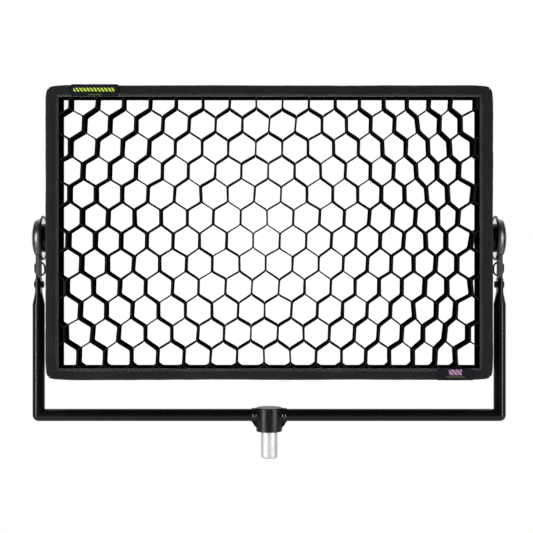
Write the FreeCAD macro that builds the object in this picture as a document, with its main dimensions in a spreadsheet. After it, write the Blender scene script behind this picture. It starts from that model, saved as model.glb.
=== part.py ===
import FreeCAD, Part
import math
import os
import re

import Sketcher
from FreeCAD import Placement, Rotation, Vector

# Soft LED panel light in a tube yoke, with a fabric honeycomb grid on its front.
# Millimetres. +Z is up, +X is to the right seen from the front, and the light shines along -Y.
# The origin is on the spigot's axis, at the top of its full-size shank, just under the yoke's hub.

SIZES = {
    # Yoke: a 28.6 mm (1 1/8 inch) spigot under a cast hub on a tube frame.
    "spigot_dia": 28.6,
    "spigot_length": 46,
    "spigot_relief": 0.4,
    "tenon_dia": 24,
    "tenon_length": 16.4,
    "boss_dia": 45,
    "boss_height": 41.5,
    "bar_height": 28.5,
    "socket_half": 31,
    "screw_reach": 25.5,
    "tube_dia": 21.3,
    "tube_wall": 2.6,
    "arm_half": 400,
    "arm_taper": 192.5,
    "arm_flat": 219,
    "arm_top": 237.5,
    "flat_thick": 9.6,
    "flat_width": 28,
    "pivot_height": 335.5,
    "lug_thick": 6,
    "lug_width": 30,
    "tongue_width": 18.4,
    "lug_bolt_drop": 80.5,
    "lug_foot": 87,
    "lug_step": 69,
    "link_hole_drop": 42,
    "link_hole_dia": 6.4,
    "link_hole_back": 8,
    # Safety link: an oval of wire through the lug.
    "link_wire": 3,
    "link_length": 28,
    "link_width": 20,
    "link_lean": 22,
    # Tilt pivot, from the housing outwards.
    "hub_foot_dia": 54,
    "hub_foot": 3,
    "hub_dia": 50,
    "hub_bolt_circle": 37,
    "hub_face": 390.8,
    "friction_dia": 69,
    "friction_thick": 1.2,
    "dish_dia": 77.4,
    "dish_base": 2,
    "dish_lip": 1.8,
    "dish_rim": 3,
    "collar_dia": 66.8,
    "collar_thick": 8.5,
    "stud_dia": 12,
    "washer_dia": 32,
    "washer_thick": 1.5,
    "knob_dia": 62,
    "knob_rim": 0.8,
    "knob_shoulder": 3,
    "knob_height": 7.1,
    "gap": 0.2,
    # Lamp housing.
    "head_rise": 9.5,
    "body_w": 726,
    "body_h": 474,
    "body_front": 50,
    "body_back": 36,
    "skin": 3,
    "flange": 12,
    "bezel_thick": 4,
    "aperture_w": 698,
    "aperture_h": 450,
    "diffuser_thick": 3,
    "chamber_w": 690,
    "chamber_h": 442,
    "board_back": 18,
    "board_thick": 1.6,
    "plate_thick": 3,
    "sink_w": 200,
    "sink_h": 370,
    "sink_x": 232,
    "sink_base": 5,
    "fin_thick": 2,
    "fin_tip": 56,
    "cover_thick": 2.5,
    "case_w": 210,
    "case_h": 340,
    "case_depth": 46,
    "case_wall": 2.5,
    "lid_thick": 3,
    "handle_x": 348,
    "handle_dia": 12,
    "handle_half": 85,
    "handle_reach": 44,
    "handle_bend": 16,
    # Fabric honeycomb grid.
    "grid_w": 740,
    "grid_h": 485.6,
    "grid_front": 110,
    "grid_back": 51,
    "mouth_w": 700,
    "mouth_h": 452,
    "skirt_thick": 2,
    "skirt_end": 29,
    "tape_front": 47,
    "tape_thick": 1.3,
    "cell_side": 25.9,
    "cell_wall": 1.8,
    "cell_rise": 25.4,
    "web_shift": -4.2,
    "web_lean": 0.0235,
    "cell_front": 108,
    "cell_back": 52,
}

doc = FreeCAD.newDocument("soft_panel_light")
sheet = doc.addObject("Spreadsheet::Sheet", "dims")
for row, (alias, value) in enumerate(SIZES.items(), 1):
    sheet.set(f"A{row}", alias)
    sheet.set(f"B{row}", str(value))
    sheet.setAlias(f"B{row}", alias)
doc.recompute()

# The named parts of the assembly, in the order that they are made.
PARTS = []
X_AXIS, Y_AXIS, Z_AXIS = Vector(1, 0, 0), Vector(0, 1, 0), Vector(0, 0, 1)
ALONG = {"x": Rotation(Y_AXIS, 90), "y": Rotation(X_AXIS, -90), "z": Rotation()}
SIDES = {"left": -1, "right": 1}
HEAD = "(pivot_height + head_rise)"


# ---------------------------------------------------------------- helpers


def bound(text):
    """The expression with every size name turned into a reference to its cell."""
    return re.sub(r"[a-z][a-z_]+", lambda m: f"dims.{m[0]}" if m[0] in SIZES else m[0], str(text))


def value(text):
    """What an expression of sizes comes to."""
    return float(sheet.evalExpression(bound(text)))


def bind(obj, **sizes):
    for name, text in sizes.items():
        obj.setExpression(name, bound(text))
    return obj


def put(obj, x="0", y="0", z="0", turn=None):
    """Places an object at expressions of sizes."""
    if turn is not None:
        obj.Placement = Placement(Vector(), turn)
    for axis, text in zip("xyz", (x, y, z)):
        obj.setExpression(f"Placement.Base.{axis}", bound(text))
    return obj


def keep(obj, label):
    """Makes an object one of the assembly's named parts."""
    obj.Label = label
    PARTS.append(obj)
    return obj


def block(x, y, z):
    """A box between pairs of expressions."""
    box = doc.addObject("Part::Box", "block")
    for prop, (low, high) in zip(("Length", "Width", "Height"), (x, y, z)):
        box.setExpression(prop, bound(f"({high}) - ({low})"))
    return put(box, x[0], y[0], z[0])


def rod(radius, low, high, along="z", at=("0", "0")):
    """A cylinder along an axis, between two expressions; at gives its other two coordinates, in order."""
    cylinder = doc.addObject("Part::Cylinder", "rod")
    bind(cylinder, Radius=radius, Height=f"({high}) - ({low})")
    base = list(at)
    base.insert("xyz".index(along), low)
    return put(cylinder, *base, turn=ALONG[along])


def cone(radius_low, radius_high, low, high, at):
    """A cone along X, between two expressions."""
    shape = doc.addObject("Part::Cone", "cone")
    bind(shape, Radius1=radius_low, Radius2=radius_high, Height=f"({high}) - ({low})")
    return put(shape, low, *at, turn=ALONG["x"])


def cut(base, *tools):
    result = doc.addObject("Part::Cut", "cut")
    result.Base = base
    result.Tool = tools[0] if len(tools) == 1 else group(*tools)
    return result


def fuse(*shapes):
    result = doc.addObject("Part::MultiFuse", "fuse")
    result.Shapes = list(shapes)
    return result


def group(*shapes):
    """Separate solids kept together."""
    result = doc.addObject("Part::Compound", "group")
    result.Links = list(shapes)
    return result


def feature(shape):
    result = doc.addObject("Part::Feature", "shape")
    result.Shape = shape
    return result


def sketch(body, role, points, closed=True, shift="0"):
    """A fully bound outline on one of the body's origin planes.

    A point is (x, y) or (x, y, radius). With a radius the edge to the next point is an arc, which turns left
    when the radius is above 0. Every corner is held by two expressions, and every arc by its radius.
    """
    drawn = body.newObject("Sketcher::SketchObject", "outline")
    plane = next(f for f in body.Origin.OriginFeatures if f.Role == role)
    drawn.AttachmentSupport = [(plane, "")]
    drawn.MapMode = "FlatFace"
    drawn.setExpression("AttachmentOffset.Base.z", bound(shift))
    spots = [Vector(value(p[0]), value(p[1]), 0) for p in points]
    count = len(points) if closed else len(points) - 1
    ends = []
    for i in range(count):
        start, end = spots[i], spots[(i + 1) % len(spots)]
        radius = value(points[i][2]) if len(points[i]) > 2 else 0
        if not radius:
            drawn.addGeometry(Part.LineSegment(start, end), False)
            ends.append((1, 2))
            continue
        chord = end - start
        side = Vector(-chord.y, chord.x, 0).normalize() * math.copysign(1, radius)
        centre = (start + end) / 2 + side * math.sqrt(max(0, radius**2 - (chord.Length / 2) ** 2))
        angles = [math.atan2(s.y - centre.y, s.x - centre.x) for s in (start, end)]
        if radius < 0:
            angles.reverse()
        circle = Part.Circle(centre, Z_AXIS, abs(radius))
        drawn.addGeometry(Part.ArcOfCircle(circle, angles[0], angles[1]), False)
        ends.append((1, 2) if radius > 0 else (2, 1))
    for i in range(count if closed else count - 1):
        j = (i + 1) % count
        drawn.addConstraint(Sketcher.Constraint("Coincident", i, ends[i][1], j, ends[j][0]))
    for i, point in enumerate(points):
        edge, corner = (i, ends[i][0]) if i < count else (i - 1, ends[i - 1][1])
        for kind, text, number in (("DistanceX", point[0], spots[i].x), ("DistanceY", point[1], spots[i].y)):
            index = drawn.addConstraint(Sketcher.Constraint(kind, -1, 1, edge, corner, number))
            drawn.setExpression(f"Constraints[{index}]", bound(text))
        if len(point) > 2 and i < count:
            index = drawn.addConstraint(Sketcher.Constraint("Radius", i, abs(value(point[2]))))
            drawn.setExpression(f"Constraints[{index}]", bound(f"abs({point[2]})"))
    return drawn


def circle_sketch(body, role, radius, at=("0", "0"), shift="0"):
    drawn = body.newObject("Sketcher::SketchObject", "ring")
    plane = next(f for f in body.Origin.OriginFeatures if f.Role == role)
    drawn.AttachmentSupport = [(plane, "")]
    drawn.MapMode = "FlatFace"
    drawn.setExpression("AttachmentOffset.Base.z", bound(shift))
    drawn.addGeometry(Part.Circle(Vector(value(at[0]), value(at[1]), 0), Z_AXIS, value(radius)), False)
    held = [
        (Sketcher.Constraint("DistanceX", -1, 1, 0, 3, value(at[0])), at[0]),
        (Sketcher.Constraint("DistanceY", -1, 1, 0, 3, value(at[1])), at[1]),
        (Sketcher.Constraint("Radius", 0, value(radius)), radius),
    ]
    for constraint, text in held:
        index = drawn.addConstraint(constraint)
        drawn.setExpression(f"Constraints[{index}]", bound(text))
    return drawn


def new_body():
    return doc.addObject("PartDesign::Body", "body")


def pad(body, profile, length, symmetric=True):
    made = body.newObject("PartDesign::Pad", "pad")
    made.Profile = profile
    made.SideType = "Symmetric" if symmetric else "One side"
    return bind(made, Length=length)


def pocket(body, profile, length):
    made = body.newObject("PartDesign::Pocket", "pocket")
    made.Profile = profile
    made.SideType = "Symmetric"
    return bind(made, Length=length)


def lathe(points):
    """A body turned round its own Z axis from an outline of (radius, height) points."""
    body = new_body()
    turned = body.newObject("PartDesign::Revolution", "turned")
    turned.Profile = sketch(body, "XZ_Plane", points)
    turned.ReferenceAxis = (turned.Profile[0], ["V_Axis"])
    turned.Angle = 360
    return body


def ring_profile(inner, outer, low, high):
    return [(inner, low), (outer, low), (outer, high), (inner, high)]


def at_pivot(obj, side, outwards):
    """Stands an object's own Z axis along the tilt axis, pointing outwards on that side."""
    sign = SIDES[side]
    return put(obj, f"{sign} * ({outwards})", "0", "pivot_height", turn=Rotation(Y_AXIS, 90 * sign))


# ---------------------------------------------------------------- yoke


def hub_casting():
    """The cast hub: an upright boss, a tapered socket and a gusset each side, bored for bar and spigot."""
    boss = rod("boss_dia / 2", "spigot_relief", "boss_height")
    left = cone("11.7", "12.9", "-socket_half", "-18", ("0", "bar_height"))
    right = cone("12.9", "11.7", "18", "socket_half", ("0", "bar_height"))
    web = new_body()
    pad(
        web,
        sketch(
            web,
            "XZ_Plane",
            [
                ("-socket_half", "bar_height - 9"),
                ("-26", "11"),
                ("-20", "5"),
                ("20", "5"),
                ("26", "11"),
                ("socket_half", "bar_height - 9"),
            ],
        ),
        "14",
    )
    bar_bore = rod("tube_dia / 2", "-40", "40", "x", ("0", "bar_height"))
    seat = rod("tenon_dia / 2 + 0.02", "-1", "tenon_length")
    screw_holes = [rod("2.6", "-20", "20", "y", (x, "bar_height")) for x in ("-screw_reach", "screw_reach")]
    rough = fuse(boss, left, right, web)
    rounded = doc.addObject("Part::Fillet", "softened")
    rounded.Base = rough
    doc.recompute()
    rims = [
        i
        for i, edge in enumerate(rough.Shape.Edges, 1)
        if isinstance(edge.Curve, Part.Circle)
        and abs(edge.Curve.Radius - value("boss_dia / 2")) < 0.01
        and abs(abs(edge.Curve.Axis.z) - 1) < 0.01
    ]
    rounded.Edges = [(i, 1.2, 1.2) for i in rims]
    return keep(cut(rounded, bar_bore, seat, *screw_holes), "hub_casting")


def spigot():
    """The steel spigot: a lead-in chamfer below, and a turned-down tenon pressed into the hub above."""
    body = lathe(
        [
            ("0", "-spigot_length"),
            ("spigot_dia / 2 - 2.6", "-spigot_length"),
            ("spigot_dia / 2", "2.6 - spigot_length"),
            ("spigot_dia / 2", "0"),
            ("tenon_dia / 2", "spigot_relief"),
            ("tenon_dia / 2", "tenon_length"),
            ("0", "tenon_length"),
        ]
    )
    return keep(body, "spigot")


def hub_screws():
    """Two button-head screws each side, through the casting into the bar."""
    screws = []
    for x in ("-screw_reach", "screw_reach"):
        for face in (-1, 1):
            near, far = sorted((9 * face, 13.1 * face))
            shank = rod("2.5", str(near), str(far), "y", (x, "bar_height"))
            head = doc.addObject("Part::Sphere", "head")
            bind(head, Radius="6.5")
            put(head, x, str(9.8 * face), "bar_height")
            low, high = sorted((13 * face, 17 * face))
            cap = doc.addObject("Part::Common", "cap")
            cap.Base, cap.Tool = head, rod("4.6", str(low), str(high), "y", (x, "bar_height"))
            low, high = sorted((14.8 * face, 17 * face))
            socket = rod("1.7", str(low), str(high), "y", (x, "bar_height"))
            screws.append(cut(fuse(shank, cap), socket))
    return keep(group(*screws), "hub_screws")


def mitred_bar():
    """The crossbar: a tube mitred at 45 degrees to meet each arm, its outer corners rounded."""
    half, drop = value("arm_half"), value("bar_height")

    def solid(radius):
        bar = Part.makeCylinder(radius, 2 * half, Vector(-half, 0, drop), X_AXIS)
        balls = [Part.makeSphere(radius, Vector(s * half, 0, drop)) for s in SIDES.values()]
        return bar.fuse(balls)

    bar = solid(value("tube_dia / 2")).cut(solid(value("tube_dia / 2 - tube_wall")))
    for sign in SIDES.values():
        bar = bar.cut(mitre_tool(Vector(sign * half, 0, drop), Vector(sign, 0, 1)))
        bar = bar.cut(Part.makeCylinder(2.6, 60, Vector(sign * value("screw_reach"), -30, drop), Y_AXIS))
    return keep(feature(bar.removeSplitter()), "yoke_crossbar")


def mitre_tool(corner, normal):
    """A block that fills the side of a slanting plane that the normal points to."""
    size = 80
    slab = Part.makeBox(size, size, size, Vector(-size / 2, -size / 2, 0))
    slab.Placement = Placement(corner, Rotation(Z_AXIS, normal))
    return slab


def oval_wire(thick, width, height, corner=None):
    """A flattened tube's section at a height: two flats along Y and two arcs. With a corner angle, a circle
    of that thickness instead, split at the same four places."""
    half = thick / 2
    if corner:
        across, along = half * math.cos(corner), half * math.sin(corner)
        bulge, end = half, half
    else:
        across, along = half, (width - thick) / 2
        bulge, end = half, width / 2
    spots = [Vector(across, -along, height), Vector(across, along, height)]
    spots += [Vector(-across, along, height), Vector(-across, -along, height)]
    middles = [Vector(x, y, height) for x, y in ((bulge, 0), (0, end), (-bulge, 0), (0, -end))]
    edges = []
    for i in range(4):
        start, end_spot = spots[i], spots[(i + 1) % 4]
        flat = corner is None and i % 2 == 0
        edge = Part.LineSegment(start, end_spot) if flat else Part.Arc(start, middles[i], end_spot)
        edges.append(edge.toShape())
    return Part.Wire(edges)


def yoke_arm(side):
    """An arm: a tube mitred at its foot, and flattened at its top round the lug's tongue."""
    low, high, top = value("arm_taper"), value("arm_flat"), value("arm_top")
    wall = value("tube_wall")

    def solid(radius, thick, width, end):
        tube = Part.makeCylinder(radius, low, Vector(), Z_AXIS).fuse(Part.makeSphere(radius))
        sections = [oval_wire(2 * radius, 0, low, math.radians(60)), oval_wire(thick, width, high)]
        taper = Part.makeLoft(sections, True, True)
        flat = Part.makeLoft([oval_wire(thick, width, high), oval_wire(thick, width, end)], True, True)
        return tube.fuse([taper, flat])

    outer = solid(value("tube_dia / 2"), value("flat_thick"), value("flat_width"), top)
    slot_thick = value("lug_thick") + 0.1
    inner = solid(value("tube_dia / 2") - wall, slot_thick, value("tongue_width") + slot_thick + 0.1, top + 1)
    arm = outer.cut(inner).cut(mitre_tool(Vector(), Vector(-1, 0, -1)))
    bolt_up = value("pivot_height - lug_bolt_drop - bar_height")
    arm = arm.cut(Part.makeCylinder(3.1, 40, Vector(-20, 0, bolt_up), X_AXIS)).removeSplitter()
    made = feature(arm)
    turn = Rotation() if side == "right" else Rotation(Z_AXIS, 180)
    return keep(put(made, f"{SIDES[side]} * arm_half", "0", "bar_height", turn=turn), f"yoke_arm_{side}")


def yoke_lug(side):
    """The flat steel lug: a tongue held in the arm, a broad strip, and a round eye at the pivot."""
    body = new_body()
    tongue, edge = "tongue_width / 2", "lug_width / 2"
    outline = [
        (f"-{tongue}", "-lug_foot"),
        (tongue, "-lug_foot"),
        (tongue, "-lug_step"),
        (edge, "2 - lug_step"),
        (edge, "0", edge),
        ("0", edge, edge),
        (f"-{edge}", "0"),
        (f"-{edge}", "2 - lug_step"),
        (f"-{tongue}", "-lug_step"),
    ]
    pad(body, sketch(body, "YZ_Plane", outline), "lug_thick")
    doc.recompute()
    for radius, along, up in (
        ("stud_dia / 2 + 0.5", "0", "0"),
        ("3.1", "0", "-lug_bolt_drop"),
        ("link_hole_dia / 2", "link_hole_back", "-link_hole_drop"),
    ):
        pocket(body, circle_sketch(body, "YZ_Plane", radius, (along, up)), "20")
    return keep(put(body, f"{SIDES[side]} * arm_half", "0", "pivot_height"), f"yoke_lug_{side}")


def lug_bolts():
    """One bolt through each arm's flat end and lug: a domed head outside and a hexagon nut inside."""
    pieces = []
    for sign in SIDES.values():
        height = "pivot_height - lug_bolt_drop"
        outer, inner = "arm_half + flat_thick / 2", "arm_half - flat_thick / 2"
        spans = [(f"{inner} - 5", outer, "3"), (outer, f"{outer} + 2.6", "5.6")]
        rods = []
        for low, high, radius in spans:
            ends = (low, high) if sign > 0 else (f"-({high})", f"-({low})")
            rods.append(rod(radius, *ends, "x", ("0", height)))
        nut = doc.addObject("Part::Prism", "nut")
        nut.Polygon = 6
        bind(nut, Circumradius="5.8", Height="4.6")
        start = f"{inner} - 4.6" if sign > 0 else f"-({inner})"
        put(nut, start, "0", height, turn=ALONG["x"])
        pieces.append(fuse(*rods, nut))
    return keep(group(*pieces), "lug_bolts")


# ---------------------------------------------------------------- tilt pivot


def pivot_collar(side):
    """The round moulded shroud that the lug's eye sits in, flush with the lug and bowed in to the knob."""
    rim, lip = "collar_dia / 2", "collar_dia / 2 - 2.5"
    collar = lathe(
        [
            ("stud_dia / 2 + 0.5", "0"),
            (f"{rim} - 0.8", "0", "0.8"),
            (rim, "0.8", "(collar_thick - 0.8) ^ 2 / 5 + 1.25"),
            (lip, "collar_thick"),
            ("stud_dia / 2 + 0.5", "collar_thick"),
        ]
    )
    sign = SIDES[side]
    face = "arm_half + lug_thick / 2"
    across = (f"{face} - lug_thick", f"{face} + 1")
    if sign < 0:
        across = (f"-({face}) - 1", f"lug_thick - ({face})")
    strip = block(across, ("-lug_width / 2", "lug_width / 2"), ("pivot_height - 60", "pivot_height"))
    eye = rod("lug_width / 2", *across, "x", ("0", "pivot_height"))
    seated = at_pivot(collar, side, f"{face} - collar_thick")
    return keep(cut(seated, strip, eye), f"pivot_collar_{side}")


DISH_SEAT = "(arm_half + lug_thick / 2 - collar_thick)"


def dish_plates():
    """A dished brake disc on the inside of each collar, its lip towards the housing."""
    pieces = []
    for side in SIDES:
        rim, inside = "dish_dia / 2", "dish_dia / 2 - dish_rim"
        dish = lathe(
            [
                ("stud_dia / 2 + 0.5", "-dish_base"),
                (inside, "-dish_base"),
                (inside, "-dish_base - dish_lip"),
                (rim, "-dish_base - dish_lip"),
                (rim, "-1", "1"),
                (f"{rim} - 1", "0"),
                ("stud_dia / 2 + 0.5", "0"),
            ]
        )
        pieces.append(at_pivot(dish, side, DISH_SEAT))
    return keep(group(*pieces), "dish_plates")


def friction_washers():
    """The bright lining in each dish, which the housing's hub turns against."""
    pieces = []
    for side in SIDES:
        washer = lathe(ring_profile("stud_dia / 2 + 0.5", "friction_dia / 2", "-friction_thick", "0"))
        pieces.append(at_pivot(washer, side, f"{DISH_SEAT} - dish_base"))
    return keep(group(*pieces), "friction_washers")


# Each hub's four bolts stand at the corners of a square, this far from the pivot both ways.
BOLT_REACH = "hub_bolt_circle / 2 * sqrt(2) / 2"
BOLT_CORNERS = [(1, 1), (1, -1), (-1, 1), (-1, -1)]


def side_hub(side):
    """The black hub that stands off the housing's side and rubs on the friction washer."""
    base = "body_w / 2"
    tall = f"hub_face - {base}"
    hub = lathe(
        [
            ("stud_dia / 2 + 0.02", "0"),
            ("hub_foot_dia / 2", "0"),
            ("hub_foot_dia / 2", "hub_foot - 1", "1"),
            ("hub_foot_dia / 2 - 1", "hub_foot"),
            ("hub_dia / 2", "hub_foot + 1"),
            ("hub_dia / 2", f"{tall} - 1"),
            ("hub_dia / 2 - 1", tall),
            ("stud_dia / 2 + 0.02", tall),
        ]
    )
    doc.recompute()
    for up, along in BOLT_CORNERS:
        hole = circle_sketch(hub, "XY_Plane", "2.52", (f"{up} * {BOLT_REACH}", f"{along} * {BOLT_REACH}"))
        pocket(hub, hole, "24")
    return keep(at_pivot(hub, side, base), f"side_hub_{side}")


def pivot_stud(side):
    """The threaded stud through hub and lug, with a collar inside the housing."""
    base = "body_w / 2 - skin"
    end = f"arm_half + 7 - ({base})"
    stud = lathe(
        [
            ("0", "-9"),
            ("stud_dia / 2 - 1", "-9"),
            ("stud_dia / 2", "-8"),
            ("stud_dia / 2", "-5"),
            ("12.5", "-5"),
            ("12.5", "0"),
            ("stud_dia / 2", "0"),
            ("stud_dia / 2", f"{end} - 1"),
            ("stud_dia / 2 - 1", end),
            ("0", end),
        ]
    )
    return keep(at_pivot(stud, side, base), f"pivot_stud_{side}")


def hub_bolts():
    """Four socket-head screws through the housing's rail into each hub, their heads inside."""
    head = "-skin - 4.5"
    outline = [
        ("0", f"{head} + 2"),
        ("2", f"{head} + 2"),
        ("2", head),
        ("3.6", head),
        ("4.2", f"{head} + 0.6"),
        ("4.2", "-skin"),
        ("2.5", "-skin"),
        ("2.5", "11"),
        ("0", "11"),
    ]
    pieces = []
    for side, sign in SIDES.items():
        for up, along in BOLT_CORNERS:
            bolt = at_pivot(lathe(outline), side, "body_w / 2")
            height = f"pivot_height + {up} * {BOLT_REACH}"
            put(bolt, f"{sign} * body_w / 2", f"{along} * {BOLT_REACH}", height)
            pieces.append(bolt)
    return keep(group(*pieces), "hub_bolts")


def thrust_washer(side):
    washer = lathe(ring_profile("stud_dia / 2 + 0.3", "washer_dia / 2", "0", "washer_thick"))
    return keep(at_pivot(washer, side, "arm_half + lug_thick / 2 + gap"), f"thrust_washer_{side}")


def tilt_knob(side):
    """The low domed knob that clamps the lug: a smooth cap with a coin slot across its crown."""
    shoulder, crown = "knob_dia / 2 - 3.5", "(knob_height - knob_shoulder)"
    recess = "washer_thick - 0.4 + 0.1"
    knob = lathe(
        [
            ("stud_dia / 2 + 0.06", recess),
            ("washer_dia / 2 + 0.4", recess),
            ("washer_dia / 2 + 0.4", "0"),
            ("knob_dia / 2 - knob_rim", "0", "knob_rim"),
            ("knob_dia / 2", "knob_rim", "8"),
            (shoulder, "knob_shoulder", f"(({shoulder}) ^ 2 + {crown} ^ 2) / (2 * {crown})"),
            ("0", "knob_height"),
            ("0", "knob_height - 2.6"),
            ("stud_dia / 2 + 0.06", "knob_height - 2.6"),
        ]
    )
    seat = "(arm_half + lug_thick / 2 + gap + 0.4)"
    across = (f"{seat} + knob_height - 1.2", f"{seat} + knob_height + 1")
    if SIDES[side] < 0:
        across = (f"-{seat} - knob_height - 1", f"1.2 - {seat} - knob_height")
    slot = block(across, ("-1.3", "1.3"), ("pivot_height - 11", "pivot_height + 11"))
    return keep(cut(at_pivot(knob, side, seat), slot), f"tilt_knob_{side}")


def safety_link(side):
    """An oval of wire through the lug's lower hole, hanging round the lug's back edge."""
    wire, length, width = value("link_wire"), value("link_length"), value("link_width")
    radius = (width - wire) / 2
    straight = length - width
    arcs = [
        Part.makeTorus(radius, wire / 2, Vector(0, 0, -radius - drop), Y_AXIS, 0, 360, 360)
        for drop in (0, straight)
    ]
    upper = arcs[0].common(Part.makeBox(60, 20, 30, Vector(-30, -10, -radius)))
    lower = arcs[1].common(Part.makeBox(60, 20, 30, Vector(-30, -10, -radius - straight - 30)))
    legs = [
        Part.makeCylinder(wire / 2, straight, Vector(sign * radius, 0, -radius - straight), Z_AXIS)
        for sign in SIDES.values()
    ]
    link = upper.fuse([lower, *legs]).removeSplitter()
    made = feature(link)
    turn = Rotation(X_AXIS, value("link_lean"))
    put(made, f"{SIDES[side]} * arm_half", "link_hole_back", "pivot_height - link_hole_drop", turn=turn)
    return keep(made, f"safety_link_{side}")


# ---------------------------------------------------------------- lamp housing


def mitred_frame(outer_w, outer_h, inner_w, inner_h, front, back):
    """Four strips round a rectangle, mitred at its corners, in the order top, bottom, left, right."""
    signs = ((-1, 1), (1, 1), (1, -1), (-1, -1))
    corners = [(f"{a} * {outer_w} / 2", f"{b} * {outer_h} / 2") for a, b in signs]
    inside = [(f"{a} * {inner_w} / 2", f"{b} * {inner_h} / 2") for a, b in signs]
    strips = []
    for i, j in ((0, 1), (2, 3), (3, 0), (1, 2)):
        body = new_body()
        drawn = sketch(body, "XZ_Plane", [corners[i], corners[j], inside[j], inside[i]])
        pad(body, drawn, f"{back} - ({front})")
        strips.append(put(body, "0", f"({front} + {back}) / 2", HEAD))
    return strips


def front_bezel():
    """The front frame: four flat strips mitred at the corners."""
    depth = ("-body_front", "(bezel_thick - body_front)")
    strips = mitred_frame("body_w", "body_h", "aperture_w", "aperture_h", *depth)
    return keep(group(*strips), "front_bezel")


def side_rail(side):
    """An upright channel of the housing, its two flanges turned inwards and its ends closed."""
    sign = SIDES[side]
    web, lip = "body_w / 2", "body_w / 2 - flange"
    front, back = "bezel_thick - body_front", "body_back"
    step = "diffuser_thick + 1"
    points = [
        (web, front),
        (web, back),
        (lip, back),
        (lip, f"{back} - skin"),
        (f"{web} - skin", f"{back} - skin"),
        (f"{web} - skin", f"{front} + {step} + skin"),
        (lip, f"{front} + {step} + skin"),
        (lip, f"{front} + {step}"),
        (f"{web} - skin", f"{front} + {step}"),
        (f"{web} - skin", front),
    ]
    body = new_body()
    drawn = sketch(body, "XY_Plane", [(f"{sign} * ({x})", y) for x, y in points])
    pad(body, drawn, "body_h")
    doc.recompute()
    cap = [(f"{sign} * ({x})", y) for x, y in ((web, front), (web, back), (lip, back), (lip, front))]
    for end in (-1, 1):
        pad(body, sketch(body, "XY_Plane", cap, shift=f"{end} * (body_h - skin) / 2"), "skin")
        doc.recompute()
    hole = circle_sketch(body, "YZ_Plane", "stud_dia / 2 + 0.1", ("0", "-head_rise"), f"{sign} * body_w / 2")
    pocket(body, hole, "20")
    for up, along in BOLT_CORNERS:
        spot = (f"{along} * {BOLT_REACH}", f"-head_rise + {up} * {BOLT_REACH}")
        pocket(body, circle_sketch(body, "YZ_Plane", "2.52", spot, f"{sign} * body_w / 2"), "20")
    return keep(put(body, "0", "0", HEAD), f"side_rail_{side}")


def level_rail(name, sign):
    """A level channel of the housing, between the side rails."""
    web, lip = "body_h / 2", "body_h / 2 - flange"
    front, back = "bezel_thick - body_front", "body_back"
    step = "diffuser_thick + 1"
    points = [
        (front, web),
        (back, web),
        (back, lip),
        (f"{back} - skin", lip),
        (f"{back} - skin", f"{web} - skin"),
        (f"{front} + {step} + skin", f"{web} - skin"),
        (f"{front} + {step} + skin", lip),
        (f"{front} + {step}", lip),
        (f"{front} + {step}", f"{web} - skin"),
        (front, f"{web} - skin"),
    ]
    body = new_body()
    drawn = sketch(body, "YZ_Plane", [(y, f"{sign} * ({z})") for y, z in points])
    pad(body, drawn, "body_w - 2 * flange - 0.4")
    return keep(put(body, "0", "0", HEAD), name)


def diffuser_panel():
    """The opal sheet behind the bezel."""
    half_w, half_h = "(body_w / 2 - skin - 2)", "(body_h / 2 - skin - 2)"
    front = "(bezel_thick - body_front)"
    sheet_of_opal = block(
        (f"-{half_w}", half_w),
        (front, f"{front} + diffuser_thick"),
        (f"{HEAD} - {half_h}", f"{HEAD} + {half_h}"),
    )
    return keep(sheet_of_opal, "diffuser_panel")


def reflector_box():
    """Four white walls round the light chamber."""
    inside = ("(chamber_w - 4)", "(chamber_h - 4)")
    strips = mitred_frame("chamber_w", "chamber_h", *inside, "-39", "(board_back - 3)")
    return keep(group(*strips), "reflector_box")


def led_boards():
    """Nine circuit boards on the back plate, each with a grid of light-emitting chips."""
    wide, tall, thick = 222, 142, value("board_thick")
    chip, chip_thick = 5, 1.2
    face = value("board_back - board_thick")
    pieces = []
    for column in range(3):
        for row in range(3):
            x, z = (column - 1) * (wide + 3), (row - 1) * (tall + 3)
            pieces.append(Part.makeBox(wide, thick, tall, Vector(x - wide / 2, face, z - tall / 2)))
            for i in range(5):
                for j in range(3):
                    spot = Vector(x + (i - 2) * 44 - chip / 2, face - chip_thick, z + (j - 1) * 47 - chip / 2)
                    pieces.append(Part.makeBox(chip, chip_thick, chip, spot))
    return keep(put(feature(Part.makeCompound(pieces)), "0", "0", HEAD), "led_boards")


def back_plate():
    """The aluminium plate that carries the boards and spreads their heat."""
    half_w, half_h = "(body_w / 2 - skin - 2)", "(body_h / 2 - skin)"
    plate = block(
        (f"-{half_w}", half_w),
        ("board_back", "board_back + plate_thick"),
        (f"{HEAD} - {half_h}", f"{HEAD} + {half_h}"),
    )
    return keep(plate, "back_plate")


def heat_sink(side):
    """A finned heat sink: upright fins, which stand out through a window in the rear cover."""
    start = "board_back + plate_thick"
    body = new_body()
    base = [
        ("-sink_w / 2", start),
        ("sink_w / 2", start),
        ("sink_w / 2", f"{start} + sink_base"),
        ("-sink_w / 2", f"{start} + sink_base"),
    ]
    pad(body, sketch(body, "XY_Plane", base), "sink_h")
    doc.recompute()
    first = "sink_w / 2 - fin_thick"
    fin = [
        ("sink_w / 2", f"{start} + sink_base"),
        ("sink_w / 2", "fin_tip - 1", "1"),
        ("sink_w / 2 - 1", "fin_tip", "1"),
        (first, "fin_tip - 1"),
        (first, f"{start} + sink_base"),
    ]
    fins = pad(body, sketch(body, "XY_Plane", fin), "sink_h")
    doc.recompute()
    row = body.newObject("PartDesign::LinearPattern", "fins")
    row.Originals = [fins]
    row.Direction = (fins.Profile[0], ["H_Axis"])
    row.Reversed = True
    bind(row, Length="sink_w - fin_thick")
    row.Occurrences = 20
    body.Tip = row
    return keep(put(body, f"{SIDES[side]} * sink_x", "0", HEAD), f"heat_sink_{side}")


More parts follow.
